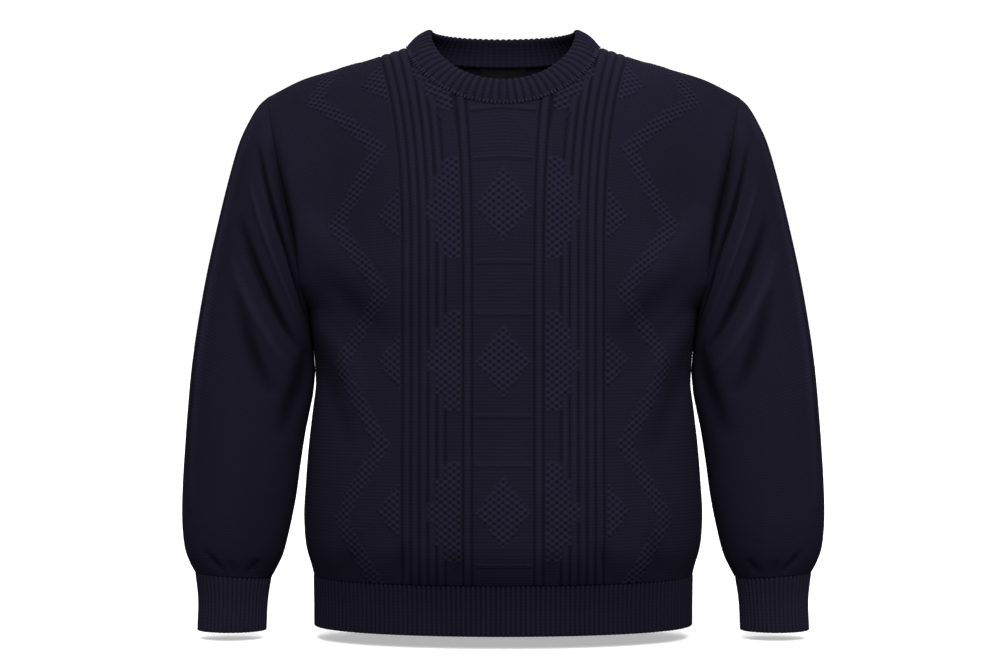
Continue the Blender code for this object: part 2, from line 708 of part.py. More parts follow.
def make_cuff(name, sign, material):
    """A ribbed tube below the sleeve. Its ribs stand out level, so that both ends stay on their planes."""
    _, _, base = ring_grid(CUFF, CUFF_RINGS, 2 * CUFF_RIBS)
    normals = tube_normals(base)
    base = flatten_ends(base, CUFF, 0)
    rises = rib_rises(CUFF_RIBS, CUFF_RISE) * np.array([1, 1, 0.5])[:, None]
    outer = base + normals * rises[:, :, None]
    outer[:, :, 2] = base[:, :, 2]
    _, _, plain = ring_grid(CUFF, CUFF_RINGS, CUFF_INNER_COLUMNS)
    inner = flatten_ends(plain - tube_normals(plain) * WALL, CUFF, WALL)
    for grid in (outer, inner):
        grid[:, :, 0] *= sign
    tube_wall(name, outer, inner, material, flip=sign < 0)


# ---------------------------------------------------------------- hem rib, neckband and label


def hem_ring(z, columns, moved_out):
    """A closed ring of the hem rib, evenly spaced, anticlockwise from the centre back."""
    front, back = lower_course(z, -1, HEM), lower_course(z, 1, HEM)
    right = np.concatenate([back[:-1], front[::-1]])
    other = right[::-1][1:].copy()
    other[:, 0] *= -1
    loop = np.concatenate([right, other])[::-1]
    run = lengths(loop)
    at = np.linspace(0, run[-1], columns, endpoint=False)
    ring = np.stack([np.interp(at, run, loop[:, k]) for k in range(3)], axis=1)
    tangent = unit(np.roll(ring, -1, axis=0) - np.roll(ring, 1, axis=0))
    outward = np.stack([tangent[:, 1], -tangent[:, 0], np.zeros(columns)], axis=1)
    return ring + outward * np.broadcast_to(moved_out, columns)[:, None]


def make_hem(material):
    """A ribbed tube below the panels, whose ribs are half as high where they meet the seam."""
    rises = rib_rises(HEM_RIBS, HEM_RISE)
    levels = [HEM_Z, (HEM_Z + RIB_TOP_Z) / 2, RIB_TOP_Z - SEAM_GAP / 2]
    outer = np.array([hem_ring(z, len(rises), rises) for z in levels])
    outer[-1] = hem_ring(levels[-1], len(rises), rises / 2)
    inner = np.array([hem_ring(z, HEM_INNER_COLUMNS, -WALL) for z in levels])
    tube_wall("hem_rib", outer, inner, material)


def neck_knots(side):
    """The places and levels of the panel's own corners along the neck's seam."""
    if side < 0:
        top = height_at(2, side)
        places = [place for place, _ in chart_columns(top, course_width(2, side))]
    else:
        places = PLAIN_COLUMNS
    return neck_ends(places, side) + [(NECK_COLUMN, 2.0)]


def neck_seam(columns, side):
    """A quarter of the neck's seam, evenly spaced from the centre line to the shoulder, with its directions.

    It follows the panel's edge from corner to corner. The directions are square to the cloth, and in the
    cloth towards the neck.
    """
    found = [on_cloth(level, side, [place]) for place, level in neck_knots(side)]
    corners = np.array([points[0] for points, _ in found])
    outward = np.array([directions[0] for _, directions in found])
    run = shares(corners)
    at = np.linspace(0, 1, columns // 4 + 1)
    line = np.stack([np.interp(at, run, corners[:, k]) for k in range(3)], axis=1)
    square = np.stack([np.interp(at, run, outward[:, k]) for k in range(3)], axis=1)
    square[-1, 1] = 0
    square[0, 0] = 0
    square = unit(square)
    inward = unit(np.cross(square, np.gradient(line, axis=0))) * -side
    inward[-1, 1] = 0
    inward[0, 0] = 0
    return line, square, unit(inward)


def around(front, back):
    """A whole ring from its front and back quarters, anticlockwise from the centre front."""
    right = np.concatenate([front, back[::-1][1:]])
    other = right[::-1][1:-1].copy()
    other[:, 0] *= -1
    return np.concatenate([right, other])


def fold_quarter(columns, reach, drop, power):
    """A quarter of the band's fold, from the centre line to the shoulder."""
    turn = np.linspace(0, math.pi / 2, columns // 4 + 1)
    across = np.cos(turn)
    z = BAND_TOP_Z - drop * across**power
    return np.stack([BAND_HALF_WIDTH * np.sin(turn), reach * across, z], axis=1)


def neckband_grid(columns, rows, depth):
    """The folded band from seam to fold, depth inside its outer face, and its outward directions."""
    front, back = neck_seam(columns, -1), neck_seam(columns, 1)
    seam, square, inward = (around(f, b) for f, b in zip(front, back))
    fold = around(
        fold_quarter(columns, BAND_FRONT_Y, BAND_FRONT_DROP, BAND_FRONT_POWER),
        fold_quarter(columns, BAND_BACK_Y, BAND_BACK_DROP, BAND_BACK_POWER),
    )
    start = seam + inward * BAND_GAP
    tangent = unit(np.roll(fold, -1, axis=0) - np.roll(fold, 1, axis=0))
    upright = unit(np.cross(tangent, unit(fold - start)))
    grid, outward = [], []
    for up in rows:
        facing = unit(square * (1 - up) + upright * up)
        swell = BAND_SWELL * math.sin(math.pi * up)
        grid.append(start + (fold - start) * up + facing * (swell - depth))
        outward.append(facing)
    return np.array(grid), np.array(outward)


def make_neckband(material):
    """The band's outer face carries the ribs over its fold; its inner face is plain."""
    rises = rib_rises(NECK_RIBS, NECK_RISE)
    grid, outward = neckband_grid(len(rises), [row.up for row in BAND_ROWS], 0.0)
    out = np.array([rises * row.rib - row.inset for row in BAND_ROWS])
    inner, _ = neckband_grid(BAND_INNER_COLUMNS, BAND_INNER_ROWS, BAND_WALL)
    tube_wall("neckband", grid + outward * out[:, :, None], inner, material)


def make_label(material):
    """A bare label that hangs inside the back neck, laid on the back's inner face and moved off it."""
    inner = plain_face(1, WALL)
    middle = inner.shape[1] // 2
    lines = []
    for x in np.linspace(-LABEL_HALF_WIDTH, LABEL_HALF_WIDTH, LABEL_COLUMNS):
        half = inner[::-1, middle : middle + len(PLAIN_COLUMNS)]
        line = np.array([[x, *(np.interp(abs(x), row[:, 0], row[:, k]) for k in (1, 2))] for row in half])
        run = lengths(line)
        at = np.linspace(LABEL_TOP, LABEL_TOP + LABEL_LENGTH, LABEL_ROWS)
        lines.append(np.stack([np.interp(at, run, line[:, k]) for k in range(3)], axis=1))
    laid = np.stack(lines, axis=1)[::-1]
    inward = unit(np.cross(np.gradient(laid, axis=1), np.gradient(laid, axis=0)))
    outer_face = laid + inward * LABEL_OFF
    inner_face = laid + inward * (LABEL_OFF + LABEL_THICK)
    panel_wall("neck_label", outer_face, inner_face, 1, material)


def cloth(name, colour, roughness=KNIT_ROUGHNESS):
    """A matt, non-metallic material."""
    material = bpy.data.materials.new(name)
    material.use_nodes = True
    shader = material.node_tree.nodes["Principled BSDF"]
    shader.inputs["Base Color"].default_value = (*colour, 1)
    shader.inputs["Roughness"].default_value = roughness
    shader.inputs["Metallic"].default_value = 0.0
    material.diffuse_color = (*colour, 1)
    return material


for old in list(bpy.data.objects):
    bpy.data.objects.remove(old)
GARMENT = bpy.data.collections.new("patterned_pullover")
bpy.context.scene.collection.children.link(GARMENT)

make_front(cloth("front_knit", COLOURS["body"]))
make_back(cloth("back_knit", COLOURS["body"]))
for word, sign in (("left", 1), ("right", -1)):
    make_sleeve(f"sleeve_{word}", sign, cloth(f"sleeve_{word}_knit", COLOURS["sleeve"]))
    make_cuff(f"cuff_{word}", sign, cloth(f"cuff_{word}_rib", COLOURS["rib"]))
make_hem(cloth("hem_rib_knit", COLOURS["rib"]))
make_neckband(cloth("neckband_rib", COLOURS["rib"]))
make_label(cloth("neck_label_cloth", COLOURS["label"], LABEL_ROUGHNESS))
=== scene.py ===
"""A patterned crew-neck pullover in thick navy wool, filled out and hollow, knitted stitch by stitch.

Each piece is a closed wall that follows its solid. Its smooth cloth comes from the same short tables of
real sizes as the solid, soft folds are laid on it one by one, and the knit tree then raises every stitch.
Metres, +Z up, the wearer's front towards -Y and left arm towards +X.
"""

import math
from collections import namedtuple

import bpy
import numpy as np
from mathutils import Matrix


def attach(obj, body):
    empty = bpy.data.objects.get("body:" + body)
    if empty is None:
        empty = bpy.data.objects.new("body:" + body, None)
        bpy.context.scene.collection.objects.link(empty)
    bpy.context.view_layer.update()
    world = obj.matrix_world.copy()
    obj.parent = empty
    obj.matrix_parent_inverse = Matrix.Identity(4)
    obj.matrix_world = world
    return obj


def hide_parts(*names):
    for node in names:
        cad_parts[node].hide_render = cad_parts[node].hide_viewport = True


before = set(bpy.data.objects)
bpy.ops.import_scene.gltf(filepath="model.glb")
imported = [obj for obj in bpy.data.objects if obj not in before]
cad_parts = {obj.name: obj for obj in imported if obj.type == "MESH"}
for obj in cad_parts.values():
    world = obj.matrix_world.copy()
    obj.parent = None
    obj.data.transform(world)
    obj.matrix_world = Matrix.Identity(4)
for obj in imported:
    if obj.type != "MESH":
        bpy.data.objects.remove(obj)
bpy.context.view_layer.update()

# ---------------------------------------------------------------- camera, light and floor
# The photograph looks level at the garment's middle from straight in front, so the camera does too. A
# softbox aimed at the chest, broad suns above and behind, a pale sky and a white floor make the studio.

FRAME_WIDTH_PX, PHOTO_AXIS_PX = 1008, 503.25
CAMERA_DISTANCE, CAMERA_Z = 2.6, -0.333
METRES_PER_PX = 0.001165
SENSOR = 36.0
FLOOR_Z, FLOOR_REACH, FLOOR_GLOW = -0.683, 60.0, 0.42
KEY_POWER, KEY_SIZE, KEY_SPREAD = 5.6, 1.0, 80
KEY_PLACE, KEY_AIM_Y, KEY_AIM_Z = (0.12, -1.8, 0.75), -0.1, -0.22
SKY_LIGHT, SKY_SEEN = 0.14, 1.1


def linear(hex_colour):
    """An sRGB hex colour as the linear values that shaders take."""
    parts = [int(hex_colour[i : i + 2], 16) / 255 for i in (1, 3, 5)]
    return tuple(c / 12.92 if c <= 0.04045 else ((c + 0.055) / 1.055) ** 2.4 for c in parts)


def add(tree, kind, settings=None, inputs=None):
    """Adds a node with its settings, and gives its inputs values, nodes or sockets."""
    node = tree.nodes.new(kind)
    for name, value in (settings or {}).items():
        setattr(node, name, value)
    for key, value in (inputs or {}).items():
        if isinstance(value, bpy.types.Node):
            value = value.outputs[0]
        if isinstance(value, bpy.types.NodeSocket):
            tree.links.new(value, node.inputs[key])
        else:
            node.inputs[key].default_value = value
    return node


camera = bpy.data.cameras.new("camera")
camera.sensor_width = SENSOR
camera.lens = SENSOR * CAMERA_DISTANCE / (FRAME_WIDTH_PX * METRES_PER_PX)
eye = bpy.data.objects.new("camera", camera)
eye.location = ((FRAME_WIDTH_PX / 2 - PHOTO_AXIS_PX) * METRES_PER_PX, -CAMERA_DISTANCE, CAMERA_Z)
eye.rotation_euler = (math.pi / 2, 0, 0)
bpy.context.scene.collection.objects.link(eye)
bpy.context.scene.camera = eye
bpy.context.scene.view_settings.view_transform = "Standard"

Sun = namedtuple("Sun", "name strength width azimuth elevation")
SUNS = [
    Sun("softbox_over_front", 1.9, 45, 8, 58),
    Sun("softbox_above", 0.8, 60, 10, 80),
    Sun("softbox_behind", 2.0, 60, 180, 34),
]
for row in SUNS:
    light = bpy.data.lights.new(row.name, "SUN")
    light.energy = row.strength
    light.angle = math.radians(row.width)
    lamp = bpy.data.objects.new(row.name, light)
    lamp.rotation_euler = (math.radians(90 - row.elevation), 0, math.radians(row.azimuth))
    bpy.context.scene.collection.objects.link(lamp)

key = bpy.data.lights.new("softbox_chest", "AREA")
key.energy, key.size = KEY_POWER, KEY_SIZE
key.spread = math.radians(KEY_SPREAD)
lamp = bpy.data.objects.new("softbox_chest", key)
lamp.location = KEY_PLACE
lamp.rotation_euler = (math.atan2(KEY_AIM_Y - KEY_PLACE[1], KEY_PLACE[2] - KEY_AIM_Z), 0, 0)
bpy.context.scene.collection.objects.link(lamp)

world = bpy.data.worlds.new("pale_sky")
world.use_nodes = True
sky = world.node_tree
sky.nodes.clear()
seen = add(sky, "ShaderNodeBackground", None, {"Color": (1, 1, 1, 1), "Strength": SKY_SEEN})
lit = add(sky, "ShaderNodeBackground", None, {"Color": (1, 1, 1, 1), "Strength": SKY_LIGHT})
path = add(sky, "ShaderNodeLightPath")
both = add(sky, "ShaderNodeMixShader", None, {0: path.outputs["Is Camera Ray"], 1: lit, 2: seen})
add(sky, "ShaderNodeOutputWorld", None, {"Surface": both})
bpy.context.scene.world = world

# Matt white studio paint, rolled on: it glows a little to the eye, and throws only a grey light back up.
paint = bpy.data.materials.new("white_floor_paint")
paint.use_nodes = True
ground = paint.node_tree
ground.nodes.clear()
white = add(ground, "ShaderNodeBsdfDiffuse", None, {"Color": (*linear("#fbfbfb"), 1)})
glow = add(ground, "ShaderNodeEmission", None, {"Color": (1, 1, 1, 1), "Strength": FLOOR_GLOW})
white = add(ground, "ShaderNodeAddShader", None, {0: white, 1: glow})
grey = add(ground, "ShaderNodeBsdfDiffuse", None, {"Color": (*linear("#8a8a8a"), 1)})
path = add(ground, "ShaderNodeLightPath")
both = add(ground, "ShaderNodeMixShader", None, {0: path.outputs["Is Camera Ray"], 1: grey, 2: white})
add(ground, "ShaderNodeOutputMaterial", None, {"Surface": both})
sheet = bpy.data.meshes.new("floor")
ends = (-FLOOR_REACH, FLOOR_REACH)
corners = [(x, y, FLOOR_Z) for y in ends for x in (ends if y < 0 else ends[::-1])]
sheet.from_pydata(corners, [], [(0, 1, 2, 3)])
sheet.materials.append(paint)
floor = bpy.data.objects.new("floor", sheet)
bpy.context.scene.collection.objects.link(floor)

# ---------------------------------------------------------------- the yarn
# One soft, matt, very dark navy wool, spun thick and barely fuzzy, knitted on one machine throughout. A
# wale is a column of stitches and a course a row. Every piece carries its own wale and course numbers, so
# that the raised stitches and the finer legs of each stitch follow the cloth.

WALE, COURSE, WALL = 0.00495, 0.0038068, 0.0025
# The wool's lit colour and its painted shaded colour: painted shade and highlight are mixed between them.
WOOL_LIT, WOOL_SHADED = "#252233", "#100e17"
STITCH_RISE, LEG_DEPTH = 0.00007, 0.0004
RISES = ("Moss Rise", "Moss Bump", "Rib Rise", "Purl Rise", "Welt Rise", "Stitch Rise")
KINDS = ("moss", "rib", "purl", "welt")

# Each step works one number out of others at every point. A height is 1 on top of a stitch and -1 in the
# hollow beside it, and tone is painted light: how much lighter that paints the wool on top, as painted
# highlight, and how much darker in the hollow, as painted shade.
Step = namedtuple("Step", "makes operation first second third", defaults=(0.0, 0.0))
KNIT_STEPS = [
    Step("wale turn", "MULTIPLY", "wale", math.pi),
    Step("course turn", "MULTIPLY", "course", math.pi),
    Step("across", "COSINE", "wale turn"),
    Step("along", "COSINE", "course turn"),
    Step("checker", "MULTIPLY", "across", "along"),
    Step("wales", "MULTIPLY_ADD", "across", "across", -0.5),
    Step("courses", "MULTIPLY_ADD", "along", "along", -0.5),
    Step("groove", "MULTIPLY_ADD", "across", -0.5, 0.5),
    Step("narrow groove", "POWER", "groove", 2.2),
    Step("ridge", "MULTIPLY_ADD", "narrow groove", -2.0, 1.0),
    Step("dot", "MULTIPLY_ADD", "checker", 0.5, 0.5),
    Step("wide dot", "POWER", "dot", 0.6),
    Step("dot height", "MULTIPLY_ADD", "wide dot", 2.0, -1.0),
    Step("moss height", "MULTIPLY_ADD", "dot height", "Moss Bump", "Moss Rise"),
    Step("rise", "MULTIPLY", "moss height", "moss"),
    Step("rib height", "MULTIPLY", "ridge", "Rib Rise"),
    Step("rise", "MULTIPLY_ADD", "rib height", "rib", "rise"),
    Step("bar height", "MULTIPLY", "courses", "Purl Rise"),
    Step("rise", "MULTIPLY_ADD", "bar height", "purl", "rise"),
    Step("rise", "MULTIPLY_ADD", "welt", "Welt Rise", "rise"),
    Step("worked", "MAXIMUM", "rib", "purl"),
    Step("worked", "MAXIMUM", "moss", "worked"),
    Step("plain", "SUBTRACT", 1.0, "worked"),
    Step("stitch", "ADD", "wales", "courses"),
    Step("stitch height", "MULTIPLY", "stitch", "Stitch Rise"),
    Step("rise", "MULTIPLY_ADD", "stitch height", "plain", "rise"),
    Step("held", "MINIMUM", "outward length", 1.0),
    Step("rise", "MULTIPLY", "rise", "held"),
    # Painted shade and highlight: rib grooves are painted darker, and rib ridges, purl bars and welts
    # lighter.
    Step("tone", "SUBTRACT", "ridge", 0.45),
    Step("tone", "MULTIPLY", "tone", "rib"),
    Step("bar tone", "MULTIPLY", "courses", "purl"),
    Step("tone", "MULTIPLY_ADD", "bar tone", 0.4, "tone"),
    Step("tone", "MULTIPLY_ADD", "welt", 0.6, "tone"),
]


def knit_tree():
    """Raises the stitches of a smooth cloth from its wale and course numbers.

    Where moss is 1, every other stitch is a bump. Where rib is 1, every other wale stands up and the rest
    fall back. Where purl is 1, each course is a bar, and welt is one bar by itself. The rest is plain.
    """
    tree = bpy.data.node_groups.new("knit", "GeometryNodeTree")
    face = tree.interface
    face.new_socket("Geometry", in_out="INPUT", socket_type="NodeSocketGeometry")
    for name in RISES:
        face.new_socket(name, in_out="INPUT", socket_type="NodeSocketFloat")
    face.new_socket("Material", in_out="INPUT", socket_type="NodeSocketMaterial")
    face.new_socket("Geometry", in_out="OUTPUT", socket_type="NodeSocketGeometry")
    given = add(tree, "NodeGroupInput").outputs
    found = {name: given[name] for name in RISES}
    for name in ("wale", "course", *KINDS):
        found[name] = add(tree, "GeometryNodeInputNamedAttribute", {"data_type": "FLOAT"}, {"Name": name})
    out = add(tree, "GeometryNodeInputNamedAttribute", {"data_type": "FLOAT_VECTOR"}, {"Name": "outward"})
    size = add(tree, "ShaderNodeVectorMath", {"operation": "LENGTH"}, {0: out})
    found["outward length"] = size.outputs["Value"]
    for step in KNIT_STEPS:
        values = dict(enumerate(found.get(value, value) for value in step[2:]))
        found[step.makes] = add(tree, "ShaderNodeMath", {"operation": step.operation}, values)
    # The painted tone is kept on the points, for the wool's colour to read.
    kept = add(
        tree,
        "GeometryNodeStoreNamedAttribute",
        {"data_type": "FLOAT", "domain": "POINT"},
        {"Geometry": given["Geometry"], "Name": "tone", "Value": found["tone"]},
    )
    way = add(tree, "ShaderNodeVectorMath", {"operation": "NORMALIZE"}, {0: out})
    offset = add(tree, "ShaderNodeVectorMath", {"operation": "SCALE"}, {0: way, "Scale": found["rise"]})
    moved = add(tree, "GeometryNodeSetPosition", None, {"Geometry": kept, "Offset": offset.outputs[0]})
    real = add(tree, "GeometryNodeRealizeInstances", None, {"Geometry": moved})
    dressing = {"Geometry": real, "Material": given["Material"]}
    dressed = add(tree, "GeometryNodeSetMaterial", None, dressing)
    add(tree, "NodeGroupOutput", None, {"Geometry": dressed})
    return tree


KNIT = knit_tree()
FUZZ_SIZE, WEAR_SIZE = 1 / 1100, 1 / 9

# Relief is how far the yarn stands up, for the bump. Shade runs from the painted shaded colour to the lit
# one, and adds the knit's painted tone, painted light and shade on the moss dots, random wear and fuzz,
# and painted fold shading: darker in the folds and where a sleeve touches the body, lighter on fold ridges.
WOOL_STEPS = [
    Step("wale on", "ADD", "wale", 1000.5),
    Step("within", "FRACT", "wale on"),
    Step("off middle", "SUBTRACT", "within", 0.5),
    Step("away", "ABSOLUTE", "off middle"),
    Step("leg turn", "MULTIPLY", "away", 2 * math.pi),
    Step("leg", "SINE", "leg turn"),
    Step("lean", "ADD", "course", "away"),
    Step("lean turn", "MULTIPLY", "lean", 2 * math.pi),
    Step("twist", "COSINE", "lean turn"),
    Step("ply", "MULTIPLY_ADD", "twist", 0.35, 0.65),
    Step("yarn", "MULTIPLY", "leg", "ply"),
    Step("wale turn", "MULTIPLY", "wale", math.pi),
    Step("course turn", "MULTIPLY", "course", math.pi),
    Step("across", "COSINE", "wale turn"),
    Step("along", "COSINE", "course turn"),
    Step("checker", "MULTIPLY", "across", "along"),
    Step("dot", "MULTIPLY_ADD", "checker", 0.5, 0.5),
    Step("wide dot", "POWER", "dot", 0.5),
    Step("plain", "MULTIPLY_ADD", "moss", -0.8, 1.0),
    Step("relief", "MULTIPLY", "yarn", "plain"),
    Step("relief", "MULTIPLY_ADD", "fuzz", 0.5, "relief"),
    Step("moss dot", "MULTIPLY", "wide dot", "moss"),
    Step("relief", "MULTIPLY_ADD", "moss dot", 1.3, "relief"),
    # Painted light: the moss dots are painted lighter on top and darker between them, as light and shade
    # fall.
    Step("dot tone", "SUBTRACT", "wide dot", 0.6),
    Step("dot tone", "MULTIPLY", "dot tone", "moss"),
    Step("shade", "MULTIPLY", "tone", "tone depth"),
    Step("shade", "MULTIPLY_ADD", "dot tone", 1.2, "shade"),
    Step("wear tone", "SUBTRACT", "wear", 0.5),
    Step("shade", "MULTIPLY_ADD", "wear tone", 0.3, "shade"),
    Step("fuzz tone", "SUBTRACT", "fuzz", 0.5),
    Step("shade", "MULTIPLY_ADD", "fuzz tone", 0.4, "shade"),
    Step("shade", "SUBTRACT", "shade", "crease"),
    Step("shade", "ADD", "shade", 0.45),
]


def wool_knit(name, lit_hex, shaded_hex, leg_depth, painted_relief_shading):
    """Knitted wool: matt, with no mirror-like gloss, a faint sheen off its fibres, and hollows painted
    dark.

    Its legs of yarn lean to the middle of each wale, as deep as leg_depth. Its fuzz is a fine noise, drawn
    about a millimetre coarse so that it shows. Its last argument says how much darker its ribs' hollows are
    painted, as painted shade, and how much lighter their ridges, as painted highlight.
    """
    material = bpy.data.materials.new(name)
    material.use_nodes = True
    tree = material.node_tree
    shader = tree.nodes["Principled BSDF"]
    found = {"tone depth": painted_relief_shading}
    for label in ("wale", "course", "moss", "tone", "crease"):
        found[label] = add(tree, "ShaderNodeAttribute", {"attribute_name": label}).outputs["Fac"]
    place = add(tree, "ShaderNodeTexCoord").outputs["Object"]
    for label, size, detail in (("fuzz", FUZZ_SIZE, 3.0), ("wear", WEAR_SIZE, 4.0)):
        noise = {"Vector": place, "Scale": 1 / size, "Detail": detail}
        found[label] = add(tree, "ShaderNodeTexNoise", None, noise)
    for step in WOOL_STEPS:
        values = dict(enumerate(found.get(value, value) for value in step[2:]))
        found[step.makes] = add(tree, "ShaderNodeMath", {"operation": step.operation}, values)
    relief = {"Height": found["relief"], "Distance": leg_depth, "Strength": 1.0}
    bump = add(tree, "ShaderNodeBump", None, relief)
    share = found["shade"]
    share.use_clamp = True
    ends = {6: (*linear(shaded_hex), 1), 7: (*linear(lit_hex), 1)}
    colour = add(tree, "ShaderNodeMix", {"data_type": "RGBA"}, {0: share, **ends})
    tree.links.new(colour.outputs[2], shader.inputs["Base Color"])
    tree.links.new(bump.outputs["Normal"], shader.inputs["Normal"])
    shader.inputs["Roughness"].default_value = 0.95
    shader.inputs["Specular IOR Level"].default_value = 0.02
    shader.inputs["Sheen Weight"].default_value = 0.004
    shader.inputs["Sheen Roughness"].default_value = 0.5
    return material


# ---------------------------------------------------------------- the front panel
# The patterned front, knitted in one piece up from the hem rib and shaped at the armholes and neck. Between
# two single ribs run diamonds and bow ties. Moss half diamonds step out over fans of ribs, a moss zigzag
# runs up each side, and the rest is plain. The chart counts wales from the centre line.

UNDERARM_X, UNDERARM_Z = 0.224, -0.303
SHOULDER_X, SHOULDER_Z = 0.274, -0.055
RIB_TOP_Z = -0.611
ARMHOLE_FRONT, ARMHOLE_BACK = 0.050, 0.056
CHEST_POWER, BACK_POWER = 0.40, 0.33
TURN_IN, TURN_IN_BY = 32, 0.6
BEND = 0.88
NECK_DROP, NECK_POWER = 0.0745, 1.25
BACK_NECK_DROP, BACK_NECK_POWER = 0.014, 1.0
NECK_COLUMN = 0.0840
NECK_SPREAD, SPREAD_REACH = 0.034, 0.040
BEND_FROM, TURN_FROM = 1.60, 0.045
HEIGHT_COLUMN = 0.1
NECK_LOWEST_LEVEL, HALVINGS = 1.2, 30
SAMPLES, HEIGHT_SAMPLES, NECK_SAMPLES = 241, 161, 121

Section = namedtuple("Section", "z half_width front back")
TORSO = [
    Section(UNDERARM_Z, UNDERARM_X, 0.1320, 0.1030),
    Section(-0.345, 0.2205, 0.1324, 0.1008),
    Section(-0.390, 0.2180, 0.1335, 0.0985),
    Section(-0.420, 0.2215, 0.1345, 0.0990),
    Section(-0.460, 0.2260, 0.1360, 0.1005),
    Section(-0.500, 0.2292, 0.1375, 0.1025),
    Section(-0.547, 0.2313, 0.1380, 0.1040),
    Section(-0.580, 0.2280, 0.1355, 0.1015),
    Section(-0.600, 0.2222, 0.1275, 0.0955),
    Section(RIB_TOP_Z, 0.2196, 0.1210, 0.0910),
]
Ridge = namedtuple("Ridge", "x z")
RIDGE = [
    Ridge(0.000, 0.022),
    Ridge(0.060, 0.014),
    Ridge(0.114, 0.001),
    Ridge(0.154, -0.0115),
    Ridge(0.196, -0.0235),
    Ridge(0.235, -0.0354),
    Ridge(SHOULDER_X, SHOULDER_Z),
]


def along(rows, place, name, at):
    """A table's column read as a smooth curve through its rows, at one place or at many."""
    x = np.array([getattr(row, place) for row in rows], float)
    y = np.array([getattr(row, name) for row in rows], float)
    if x[0] > x[-1]:
        x, y = x[::-1], y[::-1]
    slope = np.gradient(y, x)
    at = np.clip(at, x[0], x[-1])
    i = np.clip(np.searchsorted(x, at) - 1, 0, len(x) - 2)
    h = x[i + 1] - x[i]
    t = (at - x[i]) / h
    return (
        (1 + 2 * t) * (1 - t) ** 2 * y[i]
        + t * (1 - t) ** 2 * h * slope[i]
        + t * t * (3 - 2 * t) * y[i + 1]
        + t * t * (t - 1) * h * slope[i + 1]
    )


def unit(v):
    """Vectors at length 1."""
    return v / np.maximum(np.linalg.norm(v, axis=-1, keepdims=True), 1e-12)


def lengths(points):
    """How far along a line of points each one lies."""
    steps = np.linalg.norm(np.diff(points, axis=0), axis=1)
    return np.concatenate([[0], np.cumsum(steps)])


def lower_course(z, side, rows=TORSO):
    """A section from the centre line to the side seam; side is -1 in front and 1 behind."""
    turn = np.linspace(0, math.pi / 2, SAMPLES)
    depth = along(rows, "z", "front" if side < 0 else "back", z)
    x = along(rows, "z", "half_width", z) * np.sin(turn)
    y = side * depth * np.cos(turn) ** BEND
    return np.stack([x, y, np.full_like(x, z)], axis=1)


def upper_course(climb, side):
    """The same above the underarm, out to the armhole; climb is 0 at the underarm and 1 at the shoulder."""
    eased = min(climb / TURN_IN_BY, 1)
    widest = math.radians(90 - TURN_IN * (3 - 2 * eased) * eased**2)
    turn = np.linspace(0, widest, SAMPLES)
    share = np.sin(turn) / math.sin(widest)
    hollow = np.maximum((np.cos(turn) - math.cos(widest)) / (1 - math.cos(widest)), 0)
    bend = BEND + (1 - BEND) * climb
    edge = 2 * math.sqrt(max(climb * (1 - climb), 0)) * (ARMHOLE_FRONT if side < 0 else ARMHOLE_BACK)
    chest = TORSO[0].front if side < 0 else TORSO[0].back
    depth = chest * max(1 - climb * climb, 0) ** (CHEST_POWER if side < 0 else BACK_POWER)
    x = (UNDERARM_X + (SHOULDER_X - UNDERARM_X) * climb) * share
    y = side * (depth * hollow**bend + edge * (1 - hollow) ** 3)
    top = along(RIDGE, "x", "z", SHOULDER_X * share)
    return np.stack([x, y, UNDERARM_Z + (top - UNDERARM_Z) * climb], axis=1)


def course_line(level, side):
    """A row of a panel: level is 0 at the hem rib, 1 at the underarm and 2 along the shoulder."""
    if level <= 1:
        return lower_course(RIB_TOP_Z + (UNDERARM_Z - RIB_TOP_Z) * level, side)
    return upper_course(level - 1, side)


def spread(level, places):
    """How far the neck pushes the wales outwards, more and more towards the shoulder line."""
    climb = max(level - 1, 0)
    return NECK_SPREAD * climb**3 * (1 - np.exp(-np.asarray(places) / SPREAD_REACH))


def on_course(level, side, places):
    """The points of a row at places, which are distances from the centre line as knitted."""
    line = course_line(level, side)
    run = lengths(line)
    at = np.minimum(np.asarray(places) + spread(level, places), run[-1])
    return np.stack([np.interp(at, run, line[:, k]) for k in range(3)], axis=1)


def course_width(level, side):
    """The distance from the centre line to the row's end, as knitted."""
    whole = lengths(course_line(level, side))[-1]
    return whole - spread(level, whole)


def height_table(side):
    """Levels, and how far up the panel each one lies."""
    levels = np.linspace(0, 2, HEIGHT_SAMPLES)
    line = np.array([on_course(v, side, [HEIGHT_COLUMN])[0] for v in levels])
    return levels, lengths(line)


HEIGHTS = {side: height_table(side) for side in (-1, 1)}


def neck_seam(side):
    """The neck's seam from the centre line to the shoulder: places, levels and lengths along it."""
    reach = on_course(2, side, [NECK_COLUMN])[0]
    drop = NECK_DROP if side < 0 else BACK_NECK_DROP
    power = NECK_POWER if side < 0 else BACK_NECK_POWER
    places = NECK_COLUMN * (1 - (1 - np.linspace(0, 1, NECK_SAMPLES)) ** 3)
    levels = []
    for place in places[:-1]:
        low, high = NECK_LOWEST_LEVEL, 2.0
        for _ in range(HALVINGS):
            middle = (low + high) / 2
            x, _, z = on_course(middle, side, [place])[0]
            ring = math.sqrt(max(1 - (x / reach[0]) ** 2, 0))
            low, high = (low, middle) if z > reach[2] - drop * ring**power else (middle, high)
        levels.append((low + high) / 2)
    levels.append(2.0)
    line = np.array([on_course(v, side, [place])[0] for v, place in zip(levels, places)])
    return places, np.array(levels), lengths(line)


NECK = {side: neck_seam(side) for side in (-1, 1)}


